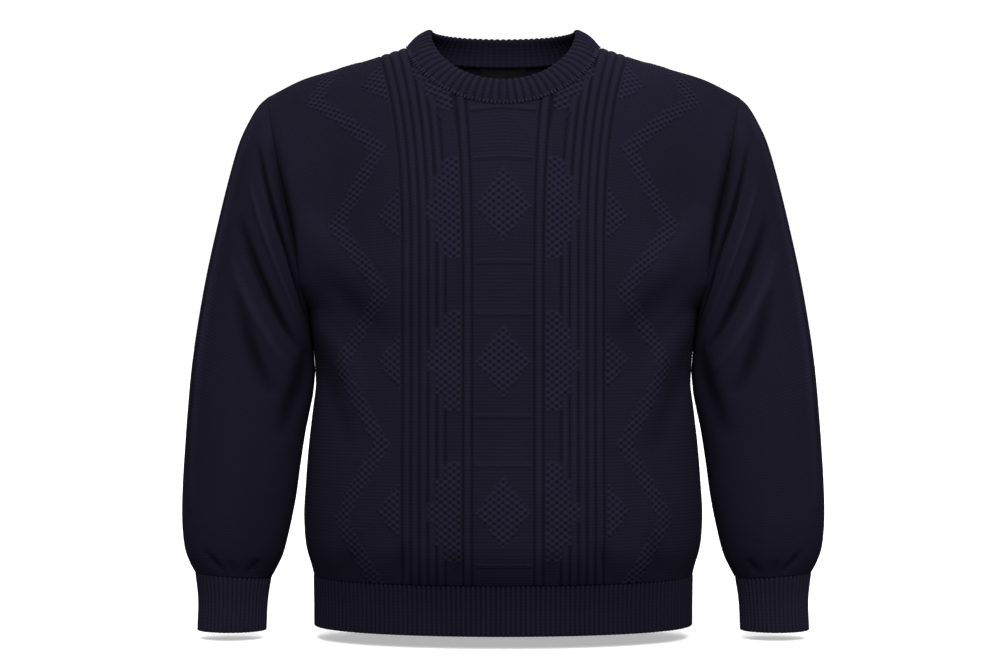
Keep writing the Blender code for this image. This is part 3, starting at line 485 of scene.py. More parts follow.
def panel_cloth(side, levels, places_at):
    """Half a panel's smooth points with the place and the level of each, bent round the neck at the top."""
    last = np.array(places_at(2.0))
    seam_places, seam_levels, run = NECK[side]
    kept = last <= TURN_FROM
    turned = (last > TURN_FROM) & (last < NECK_COLUMN - 1e-6)
    start = np.interp(last[kept][-1], seam_places, run)
    even = start + (run[-1] - start) * np.arange(1, turned.sum() + 1) / (turned.sum() + 1)
    ends = np.concatenate([last[kept], np.interp(even, run, seam_places)])
    end_levels = np.interp(ends, seam_places, seam_levels)
    points, all_places, all_levels = [], [], []
    for level in levels:
        places = np.array(places_at(level))
        row_levels = np.full(len(places), level)
        row = on_course(level, side, places)
        share = (level - BEND_FROM) / (2 - BEND_FROM)
        if share > 0:
            for j, (end, end_level) in enumerate(zip(ends, end_levels)):
                row_levels[j] = BEND_FROM + (end_level - BEND_FROM) * share
                places[j] = end + (places[j] - end) * (1 - share) ** 2
                row[j] = on_course(row_levels[j], side, [places[j]])[0]
        points.append(row)
        all_places.append(places)
        all_levels.append(row_levels)
    return np.array(points), np.array(all_places), np.array(all_levels)


def mirrored(half, sign=1):
    """Both halves of a grid whose first column is the centre line; sign is -1 for what changes sides."""
    other = half[:, :0:-1].copy()
    if half.ndim == 3:
        other[:, :, 0] *= -1
    return np.concatenate([other * (sign if half.ndim == 2 else 1), half], axis=1)


def grid_normals(grid, closed=False):
    """The ways out of a smooth grid whose rows go up and whose columns go anticlockwise from above."""
    if closed:
        across = np.roll(grid, -1, axis=1) - np.roll(grid, 1, axis=1)
    else:
        across = np.gradient(grid, axis=1)
    return unit(np.cross(across, np.gradient(grid, axis=0)))


Fold = namedtuple("Fold", "x0 z0 x1 z1 width rise")
FOLD_END_POWER = 0.8


def soft_folds(points, folds):
    """How far folds move each point out. Each is a soft ridge or trough along a line in the front view."""
    total = np.zeros(points.shape[:2])
    for fold in folds:
        start = np.array([fold.x0, fold.z0])
        reach = np.array([fold.x1, fold.z1]) - start
        off = points[:, :, [0, 2]] - start
        t = (off @ reach) / (reach @ reach)
        away = (off[:, :, 0] * reach[1] - off[:, :, 1] * reach[0]) / np.linalg.norm(reach)
        ends = np.sin(math.pi * np.clip(t, 0, 1)) ** FOLD_END_POWER
        total += fold.rise * ends * np.exp(-((away / fold.width) ** 2))
    return total


def grid_faces(ids, closed_across=False, closed_up=False, split=None):
    """Faces of a grid of vertices, facing out when rows go up and columns run anticlockwise from above.

    They are quads, or triangles whose diagonals run the one way or the other as split says for each quad.
    """
    a = ids if not closed_up else np.concatenate([ids, ids[:1]])
    a = a if not closed_across else np.concatenate([a, a[:, :1]], axis=1)
    quads = np.stack([a[:-1, :-1], a[:-1, 1:], a[1:, 1:], a[1:, :-1]], axis=-1)
    if split is None:
        return quads.reshape(-1, 4).tolist()
    rising = quads[split][:, [0, 1, 2, 0, 2, 3]].reshape(-1, 3)
    falling = quads[~split][:, [0, 1, 3, 1, 2, 3]].reshape(-1, 3)
    return rising.tolist() + falling.tolist()


def stitch_split(rows, columns):
    """Which diagonals join tops and bottoms of stitches, in a grid of two rows and columns to each."""
    return (np.arange(rows)[:, None] + np.arange(columns)) % 2 == 0


def zipped(first, second):
    """Triangles between two lines of vertices that run side by side."""
    at, other_at = np.linspace(0, 1, len(first)), np.linspace(0, 1, len(second))
    faces = []
    i = j = 0
    while i < len(first) - 1 or j < len(second) - 1:
        if i < len(first) - 1 and (j == len(second) - 1 or at[i + 1] <= other_at[j + 1]):
            faces.append((first[i], first[i + 1], second[j]))
            i += 1
        else:
            faces.append((first[i], second[j + 1], second[j]))
            j += 1
    return faces


def smooth_object(name, points, faces, numbers, outward):
    """An object whose points carry their wale, course and kind of stitch."""
    mesh = bpy.data.meshes.new(name)
    mesh.from_pydata(points.reshape(-1, 3).tolist(), [], faces)
    for label, values in numbers.items():
        attribute = mesh.attributes.new(label, "FLOAT", "POINT")
        attribute.data.foreach_set("value", values.astype(np.float32).ravel())
    attribute = mesh.attributes.new("outward", "FLOAT_VECTOR", "POINT")
    attribute.data.foreach_set("vector", outward.astype(np.float32).ravel())
    mesh.shade_smooth()
    item = bpy.data.objects.new(name, mesh)
    bpy.context.scene.collection.objects.link(item)
    return item


def knitted(item, material, **rises):
    """Runs the knit tree on a smooth object, and keeps its result as a plain mesh."""
    modifier = item.modifiers.new("knit", "NODES")
    modifier.node_group = KNIT
    sockets = {s.name: s.identifier for s in KNIT.interface.items_tree if s.in_out == "INPUT"}
    for name, value in rises.items():
        modifier[sockets[name.replace("_", " ").title()]] = value
    modifier[sockets["Material"]] = material
    found = bpy.context.evaluated_depsgraph_get()
    mesh = bpy.data.meshes.new_from_object(
        item.evaluated_get(found), preserve_all_data_layers=True, depsgraph=found
    )
    item.modifiers.clear()
    item.data = mesh
    mesh.name = item.name
    for label in ("rib", "purl", "welt", "outward"):
        mesh.attributes.remove(mesh.attributes[label])
    mesh.shade_smooth()
    return item


def walled(
    name, outer, inner, numbers, inner_at, outward, material,
    closed=False, flip=False, split_from=0, **rises
):
    """A closed wall from a fine outer grid and a coarse, plain inner one.

    The inner grid keeps the rows and columns inner_at of the outer. closed joins the last column to the
    first, as on a tube. split_from is even or odd as the first diagonals join a stitch's top or not.
    """
    rows, columns = outer.shape[:2]
    a = np.arange(rows * columns).reshape(rows, columns)
    b = rows * columns + np.arange(inner.shape[0] * inner.shape[1]).reshape(inner.shape[:2])
    split = stitch_split(rows - 1, columns if closed else columns - 1) == (split_from % 2 == 0)
    faces = grid_faces(a, closed, split=split) + [face[::-1] for face in grid_faces(b, closed)]
    rims = [a[0], b[0], a[-1], b[-1]]
    if closed:
        rims = [np.append(rim, rim[0]) for rim in rims]
    borders = [(rims[0], rims[1], False), (rims[2], rims[3], True)]
    if not closed:
        borders += [(a[:, 0], b[:, 0], True), (a[:, -1], b[:, -1], False)]
    for first, second, keep in borders:
        faces += [face if keep else face[::-1] for face in zipped(first.tolist(), second.tolist())]
    if flip:
        faces = [face[::-1] for face in faces]
    points = np.concatenate([outer.reshape(-1, 3), inner.reshape(-1, 3)])
    whole = {}
    for label, values in numbers.items():
        numbered = label in ("wale", "course")
        kept = values[np.ix_(*inner_at)] if numbered else np.zeros(inner.shape[:2])
        whole[label] = np.concatenate([values.ravel(), kept.ravel()])
    outward = np.concatenate([outward.reshape(-1, 3), np.zeros((inner.shape[0] * inner.shape[1], 3))])
    return knitted(smooth_object(name, points, faces, whole, outward), material, **rises)


FIRST_DIAMOND, REPEAT_COURSES = 0.0855, 44
GROOVES = (7, 9)
RIBS_FROM, RIBS_TO = 13, 23
DIAMOND_WALES, DIAMOND_COURSES = 6.2, 10.5
HALF_WALES, HALF_COURSES = 3.6, 15.0
HALF_STEPS = ((5.6, 10.0), (7.6, 3.0))
SMALL_WALES, SMALL_COURSES = 5.6, 8.4
ZIGZAG_NEAR, ZIGZAG_FAR, ZIGZAG_BAND = 0.1280, 0.1820, 0.0210
ZIGZAG_DROP, ZIGZAG_LEAN = 0.0115, 0.0140
WELTS = (14.0, -15.6)
WELT_WIDTH, HOLLOW_WIDTH, HOLLOW_DEPTH = 0.4, 0.5, 0.8
TIE_WALES, TIE_COURSES = 6.5, 8.0
SPREAD_COLUMNS, SPREAD_FROM = 26, 0.2178


def inside(edge, softness=0.5):
    """1 where edge is positive, falling to 0 within softness."""
    return np.clip(edge / softness + 0.5, 0, 1)


def chart(wale, course, height, top):
    """The kind of stitch at each place of the front: how far it is moss, rib, purl or welt."""
    w = np.abs(wale)
    c = (course + REPEAT_COURSES / 2) % REPEAT_COURSES - REPEAT_COURSES / 2
    up = np.abs(c)
    diamond = inside(DIAMOND_WALES * (1 - up / DIAMOND_COURSES) - w) * (up < DIAMOND_COURSES)
    half_edge = GROOVES[1] + 0.5 + HALF_WALES * inside(HALF_COURSES - up, 2.0)
    for wales, courses in HALF_STEPS:
        half_edge = np.where(up < courses, GROOVES[1] + 0.5 + wales, half_edge)
    half = inside(w - GROOVES[1] - 0.5) * inside(half_edge - w) * (up < HALF_COURSES)
    small_edge = RIBS_TO + 0.6 + SMALL_WALES * (1 - up / SMALL_COURSES)
    small = inside(w - RIBS_TO - 0.6) * inside(small_edge - w) * (up < SMALL_COURSES)
    share = height / top
    turned = (course * COURSE + ZIGZAG_DROP * (1 - share)) / (REPEAT_COURSES * COURSE)
    swing = np.abs((turned + 0.5) % 1 - 0.5) * 2
    near = ZIGZAG_NEAR + (ZIGZAG_FAR - ZIGZAG_NEAR + ZIGZAG_LEAN * share**2) * (1 - swing)
    zigzag = inside(w - near / WALE) * inside((near + ZIGZAG_BAND) / WALE - w)
    moss = np.maximum(np.maximum(diamond, half), np.maximum(small, zigzag))
    single = inside(w - GROOVES[0] + 0.5) * inside(GROOVES[1] + 0.5 - w)
    fan = inside(w - RIBS_FROM + 0.5) * inside(RIBS_TO + 0.5 - w) * (1 - half)
    rib = np.maximum(single, fan)
    away = REPEAT_COURSES / 2 - up
    tie_edge = TIE_WALES * away / TIE_COURSES
    tie = inside(GROOVES[0] - 1.5 - w) * (away < TIE_COURSES) * inside(tie_edge - w)
    centre = inside(GROOVES[0] - 0.7 - w)
    bars = sum(np.exp(-(((c - at) / WELT_WIDTH) ** 2)) for at in WELTS)
    hollows = sum(np.exp(-(((c - at + 1) / HOLLOW_WIDTH) ** 2)) for at in WELTS)
    welt = centre * (bars - HOLLOW_DEPTH * hollows)
    return {"moss": moss, "rib": rib * (1 - moss), "purl": tie * (1 - moss), "welt": welt}


ARMHOLE_PUFF, ARMHOLE_PUFF_REACH = 0.0095, 0.013
# Painted shade: beside the armhole seam, and where a sleeve and the body rest on each other, the wool is
# painted darker. The touch table's shade column says how much; its bulge column moves the cloth.
CREASE_REACH, TOUCH_REACH, TOUCH_SHADE = 0.0065, 0.020, 0.012
Touch = namedtuple("Touch", "z bulge shade")
TOUCHING = [
    Touch(-0.303, 0.0000, 0.6),
    Touch(-0.311, 0.00088, 1.0),
    Touch(-0.342, 0.00100, 1.0),
    Touch(-0.360, 0.00110, 1.0),
    Touch(-0.374, 0.00110, 0.9),
    Touch(-0.390, 0.0000, 0.4),
    Touch(-0.430, 0.0000, 0.0),
]
SEAM_DIP, SEAM_REACH = 0.0007, 0.0025
UNDERARM_EASE, EASE_PASSES, EASE_INWARD = 0.030, 60, 3
PUFF_FROM, PUFF_TO, PUFF_GROWS, PUFF_FADES = 1, 1.95, 0.12, 0.7
EDGE_ROW = 0.0006
# How much the folds' troughs are painted darker, as painted shade, and their ridges lighter, as painted
# highlight.
FOLD_SHADE, FOLD_SHADE_DEPTH, FOLD_GLEAM = 0.3, 0.004, 0.3
FRONT_FOLDS = [
    Fold(0.214, -0.255, 0.120, -0.345, 0.016, -0.0035),
    Fold(0.224, -0.300, 0.150, -0.400, 0.013, 0.0025),
    Fold(0.222, -0.330, 0.165, -0.470, 0.012, -0.0025),
    Fold(0.235, -0.190, 0.165, -0.270, 0.018, 0.0030),
    Fold(0.105, -0.560, 0.120, -0.606, 0.010, -0.0020),
    Fold(0.055, -0.570, 0.050, -0.607, 0.009, -0.0015),
    Fold(0.165, -0.550, 0.178, -0.606, 0.010, -0.0022),
]


def half_places(level, side):
    """The places of half a panel's columns: two to a wale, then spread evenly to the panel's edge."""
    width = course_width(level, side)
    chart_part = np.arange(0, SPREAD_FROM + WALE / 4, WALE / 2)
    shares = np.arange(1, SPREAD_COLUMNS + 1) / SPREAD_COLUMNS
    return np.concatenate([chart_part, chart_part[-1] + (width - chart_part[-1]) * shares])


def half_wales():
    """The wale number of each column of half a panel, which goes on by halves to the edge."""
    chart_part = np.arange(0, SPREAD_FROM + WALE / 4, WALE / 2)
    return np.arange(len(chart_part) + SPREAD_COLUMNS) / 2


def seated(points, side, levels, inset):
    """Puts a half panel's edges on their seams, its inner side moved in by inset."""
    lean = unit(np.array([SHOULDER_X - UNDERARM_X, 0, SHOULDER_Z - UNDERARM_Z]))
    foot, head = np.array([UNDERARM_X, 0, UNDERARM_Z]), np.array([SHOULDER_X, 0, SHOULDER_Z])
    depth = ARMHOLE_FRONT if side < 0 else ARMHOLE_BACK
    for i, level in enumerate(levels):
        if level < 1:
            points[i, -1, 1] = 0
            continue
        turn = math.acos(min(max(1 - 2 * (level - 1), -1), 1))
        rim = (foot + head) / 2 - lean * math.cos(turn) * (np.linalg.norm(head - foot) / 2 - inset)
        rim[1] = side * math.sin(turn) * (depth - inset)
        points[i, -1] = rim
    points[:, 0, 0] = 0
    return points


def every_fourth(count):
    """Every fourth index, and the last."""
    return sorted({*range(0, count, 4), count - 1})


def puffed(distance, reach, rise):
    """The soft swell of cloth beside a seam: none on the seam, most at reach, then falling away."""
    return rise * distance / reach * np.exp(1 - distance / reach)


def touching(z, distance, name, reach):
    """What a sleeve and the body's side do where they rest on each other, away from their nearest line."""
    table = TOUCHING[::-1]
    value = np.interp(z, [row.z for row in table], [getattr(row, name) for row in table], left=0, right=0)
    return value * np.exp(-((distance / reach) ** 2))


def make_panel(name, side, charted, folds, material, **rises):
    """A whole panel, front or back, with its folds and its stitches, two columns and two rows to each."""
    table_levels, table_heights = HEIGHTS[side]
    top = table_heights[-1]
    first = math.ceil((EDGE_ROW - FIRST_DIAMOND) / (COURSE / 2))
    halves = np.arange(first, (top - EDGE_ROW - FIRST_DIAMOND) / (COURSE / 2))
    heights = np.concatenate([[0], FIRST_DIAMOND + halves * COURSE / 2, [top]])
    levels = np.interp(heights, table_heights, table_levels)
    base, places, real_levels = panel_cloth(side, levels, lambda level: half_places(level, side))
    height = np.interp(real_levels, table_levels, table_heights)
    wale = np.where(places <= SPREAD_FROM, places / WALE, half_wales()[None, :])
    course = (height - FIRST_DIAMOND) / COURSE
    under = np.exp(-(((height[:, 0] - np.interp(1, table_levels, table_heights)) / UNDERARM_EASE) ** 2))
    edge_share = np.linspace(0, 1, base.shape[1])[::-1] ** 0.5
    weight = (under[:, None] * np.minimum(edge_share * EASE_INWARD, 1)[None, :])[:, :, None]
    for _ in range(EASE_PASSES):
        middle = base.copy()
        middle[1:-1] = (base[:-2] + 2 * base[1:-1] + base[2:]) / 4
        base = base + (middle - base) * weight
    normals = -side * grid_normals(base)
    steps = np.linalg.norm(np.diff(base[:, ::-1], axis=1), axis=2)
    from_seam = np.concatenate([np.zeros((len(levels), 1)), np.cumsum(steps, axis=1)], axis=1)[:, ::-1]
    in_armhole = np.clip((levels - PUFF_FROM) / PUFF_GROWS, 0, 1)
    in_armhole = in_armhole * np.clip((PUFF_TO - levels) / PUFF_FADES, 0, 1)
    swell = puffed(from_seam, ARMHOLE_PUFF_REACH, ARMHOLE_PUFF) * in_armhole[:, None]
    dip = -SEAM_DIP * np.exp(-((from_seam / SEAM_REACH) ** 2)) * (levels < 1)[:, None]
    below = np.minimum(base[:, :, 2], UNDERARM_Z - 1e-4)
    touch = touching(below, from_seam, "bulge", TOUCH_REACH) * (levels < 1)[:, None]
    folded = base + normals * (soft_folds(base, folds) + swell + dip + touch)[:, :, None]
    fade = np.ones(base.shape[:2])
    fade[0] = fade[-1] = fade[:, -1] = 0
    at = every_fourth(len(levels)), every_fourth(base.shape[1])
    outer = seated(folded.copy(), side, levels, 0)
    inner = seated((folded - normals * WALL)[np.ix_(*at)], side, levels[at[0]], WALL)
    numbers = {label: mirrored(values) for label, values in charted(wale, course, height, top).items()}
    numbers["wale"], numbers["course"] = mirrored(wale, -1), mirrored(course)
    # Painted light for the wool's colour: painted shade beside the armhole seam, where the sleeve rests on
    # the body and in the folds' troughs, and painted highlight on the folds' ridges.
    crease = np.exp(-((from_seam / CREASE_REACH) ** 2)) * in_armhole[:, None]
    crease = np.maximum(crease, touching(below, from_seam, "shade", TOUCH_SHADE) * (levels < 1)[:, None])
    troughs = np.clip(-soft_folds(base, folds) / FOLD_SHADE_DEPTH, -FOLD_GLEAM, 1)
    numbers["crease"] = mirrored(crease + troughs * FOLD_SHADE)
    columns = base.shape[1]
    both = sorted({columns - 1 - k for k in at[1]} | {columns - 1 + k for k in at[1]})
    return walled(
        name,
        mirrored(outer),
        mirrored(inner),
        numbers,
        (at[0], both),
        mirrored(normals * fade[:, :, None]),
        material,
        flip=side > 0,
        split_from=first + columns,
        **rises,
    )


# The panels' wool: a soft dark navy with a violet cast. Its raised dots and ribs catch the light and are
# also painted lighter, as painted highlight, and the hollows between them are painted nearly black, as
# painted shade.
BODY_WOOL = wool_knit("navy_wool_moss_and_rib", WOOL_LIT, WOOL_SHADED, LEG_DEPTH, 0.30)
front = make_panel(
    "front_panel",
    -1,
    chart,
    FRONT_FOLDS,
    BODY_WOOL,
    moss_rise=0.0003,
    moss_bump=0.00045,
    rib_rise=0.0007,
    purl_rise=0.00025,
    welt_rise=0.0006,
    stitch_rise=STITCH_RISE,
)
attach(front, "root")
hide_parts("front")

# ---------------------------------------------------------------- the back panel
# The hidden back is plain stockinette, knitted and shaped like the front with a shallow neckline. Its folds
# are like those that show in front: drag lines from the armholes and small ripples above the hem rib.

BACK_FOLDS = [
    Fold(0.212, -0.240, 0.110, -0.350, 0.018, -0.0040),
    Fold(0.226, -0.290, 0.140, -0.420, 0.014, 0.0028),
    Fold(0.222, -0.340, 0.160, -0.480, 0.013, -0.0026),
    Fold(0.020, -0.420, 0.090, -0.520, 0.020, -0.0022),
    Fold(0.080, -0.560, 0.095, -0.606, 0.010, -0.0020),
    Fold(0.150, -0.555, 0.160, -0.606, 0.010, -0.0022),
    Fold(0.030, -0.568, 0.026, -0.606, 0.009, -0.0016),
]


def plain_knit(wale, *_):
    """No raised stitches anywhere, in place of a chart."""
    return {label: np.zeros_like(wale) for label in KINDS}


back = make_panel("back_panel", 1, plain_knit, BACK_FOLDS, BODY_WOOL, stitch_rise=STITCH_RISE)
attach(back, "root")
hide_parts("back")

# ---------------------------------------------------------------- the sleeves
# Two plain set-in sleeves, wide at the armhole and gathered into the cuffs. Their rings lean with the
# armhole at the top and turn square to the arm lower down. Drag folds run down and in from the armhole,
# a soft ridge runs inside the outer edge, and small gathers stand above the cuff.

Ring = namedtuple("Ring", "outer_x outer_z inner_x inner_z front back forward")
SLEEVE = [
    Ring(SHOULDER_X, SHOULDER_Z, UNDERARM_X, UNDERARM_Z, ARMHOLE_FRONT, ARMHOLE_BACK, 0.000),
    Ring(0.2845, -0.0650, 0.2250, -0.3110, 0.0545, 0.0590, 0.000),
    Ring(0.2957, -0.0832, 0.2242, -0.3200, 0.0580, 0.0610, 0.000),
    Ring(0.3075, -0.1095, 0.2236, -0.3290, 0.0600, 0.0620, 0.001),
    Ring(0.3200, -0.1530, 0.2224, -0.3420, 0.0615, 0.0620, 0.001),
    Ring(0.3325, -0.2050, 0.2210, -0.3600, 0.0620, 0.0615, 0.002),
    Ring(0.3445, -0.2600, 0.2198, -0.3790, 0.0615, 0.0605, 0.003),
    Ring(0.3543, -0.3150, 0.2208, -0.3980, 0.0605, 0.0590, 0.004),
    Ring(0.3618, -0.3680, 0.2245, -0.4180, 0.0590, 0.0570, 0.005),
    Ring(0.3662, -0.4180, 0.2298, -0.4450, 0.0570, 0.0550, 0.007),
    Ring(0.3693, -0.4640, 0.2350, -0.4800, 0.0550, 0.0530, 0.009),
    Ring(0.3715, -0.5060, 0.2402, -0.5190, 0.0530, 0.0510, 0.011),
    Ring(0.3719, -0.5450, 0.2472, -0.5550, 0.0505, 0.0485, 0.013),
    Ring(0.3690, -0.5760, 0.2545, -0.5840, 0.0460, 0.0440, 0.014),
    Ring(0.3630, -0.5940, 0.2622, -0.6010, 0.0400, 0.0385, 0.0145),
    Ring(0.3565, -0.6060, 0.2685, -0.6125, 0.0345, 0.0330, 0.015),
]
SLEEVE_ROWS = 260
SLEEVE_WALES, SEAM_COLUMNS = 20, 58
TURN_SAMPLES, FRONT_SAMPLES = 181, 241
SLEEVE_RADIUS, SLEEVE_LENGTH = 0.062, 0.54
SLEEVE_CREASE_REACH = 0.013
# How much the sleeve folds' troughs are painted darker, as painted shade, and their ridges lighter, as
# painted highlight.
SLEEVE_SHADE, SLEEVE_SHADE_DEPTH, SLEEVE_GLEAM = 0.6, 0.007, 0.4
SLEEVE_FOLD_END_POWER = 0.7

# Two shares that change round the arm: a middle value, and what the outer line adds to it. The second
# says how much painted shade darkens the wool beside the armhole, most on the side towards the body.
TOP_OF_ARM, PAINTED_SHADE_SHARES = (0.15, 0.85), (0.75, -1.1)

TurnFold = namedtuple("TurnFold", "start_along start_angle end_along end_angle width rise")
SLEEVE_FOLDS = [
    TurnFold(0.11, 46, 0.17, 165, 0.008, -0.0080),
    TurnFold(0.20, 52, 0.27, 152, 0.007, 0.0035),
    TurnFold(0.28, 52, 0.35, 142, 0.009, -0.0070),
    TurnFold(0.34, 50, 0.44, 132, 0.008, 0.0028),
    TurnFold(0.38, 66, 0.53, 116, 0.009, -0.0050),
    TurnFold(0.30, 158, 0.62, 132, 0.012, -0.0055),
    TurnFold(0.12, 312, 0.18, 205, 0.009, -0.0075),
    TurnFold(0.28, 304, 0.36, 222, 0.010, -0.0060),
    TurnFold(0.40, 292, 0.54, 244, 0.010, -0.0045),
    TurnFold(0.04, 27, 0.78, 38, 0.005, 0.0042),
    TurnFold(0.04, 15, 0.78, 25, 0.004, -0.0024),
    TurnFold(0.06, 332, 0.74, 322, 0.006, 0.0034),
    TurnFold(0.86, 60, 0.97, 84, 0.006, -0.0026),
    TurnFold(0.88, 128, 0.98, 112, 0.006, -0.0026),
    TurnFold(0.87, 235, 0.97, 255, 0.006, -0.0026),
    TurnFold(0.88, 325, 0.98, 308, 0.006, -0.0024),
    TurnFold(0.90, 20, 0.98, 14, 0.005, -0.0018),
    TurnFold(0.89, 92, 0.985, 98, 0.005, -0.0018),
    TurnFold(0.90, 282, 0.985, 276, 0.005, -0.0018),
]


def ring_line(rows, at, turns, moved_in=0.0):
    """A ring across the arm at row number at; turns are angles from the outer side, the front at 90."""
    number = np.arange(len(rows))
    value = {}
    for name in Ring._fields:
        table = [Ridge(k, getattr(row, name)) for k, row in zip(number, rows)]
        value[name] = float(along(table, "x", "z", at))
    outer = np.array([value["outer_x"], -value["forward"], value["outer_z"]])
    inner = np.array([value["inner_x"], -value["forward"], value["inner_z"]])
    reach = (outer - inner) / 2
    reach = reach - unit(reach) * moved_in
    depth = np.where(np.sin(turns) > 0, value["front"], value["back"]) - moved_in
    points = (outer + inner) / 2 + np.cos(turns)[:, None] * reach
    points[:, 1] -= np.sin(turns) * depth
    return points


def even_rows(rows, count):
    """Row numbers spaced evenly down the front of a tube, from its last ring up to its first."""
    fine = np.linspace(len(rows) - 1, 0, FRONT_SAMPLES)
    run = lengths(np.array([ring_line(rows, at, np.array([math.pi / 2]))[0] for at in fine]))
    return np.interp(np.linspace(0, run[-1], count), run, fine)


def fold_turns(share, angle, folds):
    """How far a sleeve's folds move each point out, from its share of the length and its angle."""
    total = np.zeros(angle.shape)
    for fold in folds:
        long = (fold.end_along - fold.start_along) * SLEEVE_LENGTH
        wide = math.radians(fold.end_angle - fold.start_angle) * SLEEVE_RADIUS
        down = (share - fold.start_along) * SLEEVE_LENGTH
        turned = np.radians((angle - fold.start_angle + 180) % 360 - 180) * SLEEVE_RADIUS
        t = (down * long + turned * wide) / (long**2 + wide**2)
        away = (down * wide - turned * long) / math.hypot(long, wide)
        ends = np.sin(math.pi * np.clip(t, 0, 1)) ** SLEEVE_FOLD_END_POWER
        total += fold.rise * ends * np.exp(-((away / fold.width) ** 2))
    return total


def sleeve_columns(at):
    """A ring's columns, two to a wale from the outer line and then squeezed to the underarm seam.

    They run back round: down the back half to the seam, and up the front half. Also gives their angles.
    """
    halves = []
    for sign in (-1, 1):
        turns = sign * np.linspace(0, math.pi, TURN_SAMPLES)
        line = ring_line(SLEEVE, at, turns)
        run = lengths(line)
        first = np.arange(2 * SLEEVE_WALES + 1) * WALE / 2
        rest = first[-1] + (run[-1] - first[-1]) * np.arange(1, SEAM_COLUMNS + 1) / SEAM_COLUMNS
        place = np.concatenate([first, rest])
        points = np.stack([np.interp(place, run, line[:, k]) for k in range(3)], axis=1)
        halves.append((points, np.degrees(np.interp(place, run, turns)) % 360))
    points = np.concatenate([halves[0][0], halves[1][0][-2:0:-1]])
    return points, np.concatenate([halves[0][1], halves[1][1][-2:0:-1]])


def make_sleeve(name, sign, material):
    """One sleeve; sign is 1 on the wearer's left."""
    at = even_rows(SLEEVE, SLEEVE_ROWS)
    found = [sleeve_columns(row) for row in at]
    base = np.array([points for points, _ in found])
    angle = np.array([angles for _, angles in found])
    outwards = np.cos(np.radians(angle))
    normals = grid_normals(base, closed=True)
    share = (at / (len(SLEEVE) - 1))[:, None]
    folds = fold_turns(share, angle, SLEEVE_FOLDS)
    rises = folds * np.clip(np.minimum(at, len(SLEEVE) - 1 - at), 0, 1)[:, None]
    towards_body = np.clip(-outwards, 0, 1) ** 2
    rises = np.where(rises > 0, rises * (1 - towards_body), rises)
    steps = np.linalg.norm(np.diff(base[::-1], axis=0), axis=2)
    from_armhole = np.concatenate([np.zeros((1, base.shape[1])), np.cumsum(steps, axis=0)])[::-1]
    over = np.clip(TOP_OF_ARM[0] + TOP_OF_ARM[1] * outwards, 0, 1)
    rises += puffed(from_armhole, ARMHOLE_PUFF_REACH, ARMHOLE_PUFF) * (1 - towards_body) * (1 - over)
    half = 2 * SLEEVE_WALES + SEAM_COLUMNS
    number = np.arange(base.shape[1])
    number = np.where(number <= half, number, number - 2 * half)
    from_seam = (180 - np.abs((angle + 180) % 360 - 180)) * math.radians(1) * SLEEVE_RADIUS
    rises -= SEAM_DIP * np.exp(-((from_seam / SEAM_REACH) ** 2))
    rises += touching(base[:, :, 2], from_seam, "bulge", TOUCH_REACH)
    squeezed = np.clip(np.linalg.norm(np.roll(base, -1, axis=1) - base, axis=2) / (WALE / 2), 0, 1)
    fade = squeezed * (np.arange(len(at)) % (len(at) - 1) > 0)[:, None]
    folded = base + normals * rises[:, :, None]
    kept = every_fourth(len(at)), list(range(0, base.shape[1], 4))
    inner = (folded - normals * WALL)[np.ix_(*kept)]
    numbers = plain_knit(angle)
    # Painted light for the wool's colour: painted shade beside the armhole, where the sleeve rests on the
    # body and in the folds' troughs, and painted highlight on the folds' ridges.
    painted_shade_share = np.clip(PAINTED_SHADE_SHARES[0] + PAINTED_SHADE_SHARES[1] * outwards, 0, 1)
    crease = np.exp(-((from_armhole / SLEEVE_CREASE_REACH) ** 2)) * painted_shade_share
    crease = np.maximum(crease, touching(base[:, :, 2], from_seam, "shade", TOUCH_SHADE))
    numbers["crease"] = crease + np.clip(-folds / SLEEVE_SHADE_DEPTH, -SLEEVE_GLEAM, 1) * SLEEVE_SHADE
    numbers["wale"] = np.broadcast_to(number / 2.0, angle.shape)
    numbers["course"] = np.broadcast_to(np.arange(len(at))[:, None] / 2.0, angle.shape)
    outward = normals * fade[:, :, None]
    for grid in (folded, inner, outward):
        grid[:, :, 0] *= sign
    return walled(
        name,
        folded,
        inner,
        numbers,
        kept,
        outward,
        material,
        closed=True,
        flip=sign < 0,
        stitch_rise=STITCH_RISE,
    )


# The same wool in plain knit, a smooth matt surface of fine upright legs.
SLEEVE_WOOL = wool_knit("navy_wool_plain_knit", WOOL_LIT, WOOL_SHADED, LEG_DEPTH, 0.30)
for word, sign in (("left", 1), ("right", -1)):
    sleeve = make_sleeve(f"sleeve_{word}_tube", sign, SLEEVE_WOOL)
    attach(sleeve, "root")
    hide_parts(f"sleeve_{word}")

# ---------------------------------------------------------------- the ribbed hem and cuffs
# Single-rib bands, knitted on where the panels and sleeves end. A rib's cloth is folded to and fro, so its
# inner face has a groove behind each ridge, and the ridges' ends scallop the edge.

HEM_Z = -0.667
HEM_RIBS, CUFF_RIBS, NECK_RIBS = 190, 48, 76
HEM_RISE, CUFF_RISE, NECK_RISE = 0.0013, 0.0011, 0.0014
RIB_COLUMNS = 6
HEM = [
    Section(RIB_TOP_Z, 0.2190, 0.1190, 0.0895),
    Section(-0.640, 0.2185, 0.1165, 0.0880),
    Section(HEM_Z, 0.2182, 0.1170, 0.0885),
]
CUFF = [
    Ring(0.3553, -0.60609, 0.2697, -0.61241, 0.0335, 0.0320, 0.015),
    Ring(0.3520, -0.6370, 0.2738, -0.6400, 0.0305, 0.0290, 0.015),
    Ring(0.3528, -0.6720, 0.2755, -0.6720, 0.0310, 0.0295, 0.015),
]
INNER_ROWS = 12
RIB_RELIEF = 0.7
RIB_EDGE = [(0.15, 0.30), (0.5, 0.42), (0.85, 0.30)]
CUFF_LENGTH = 0.066


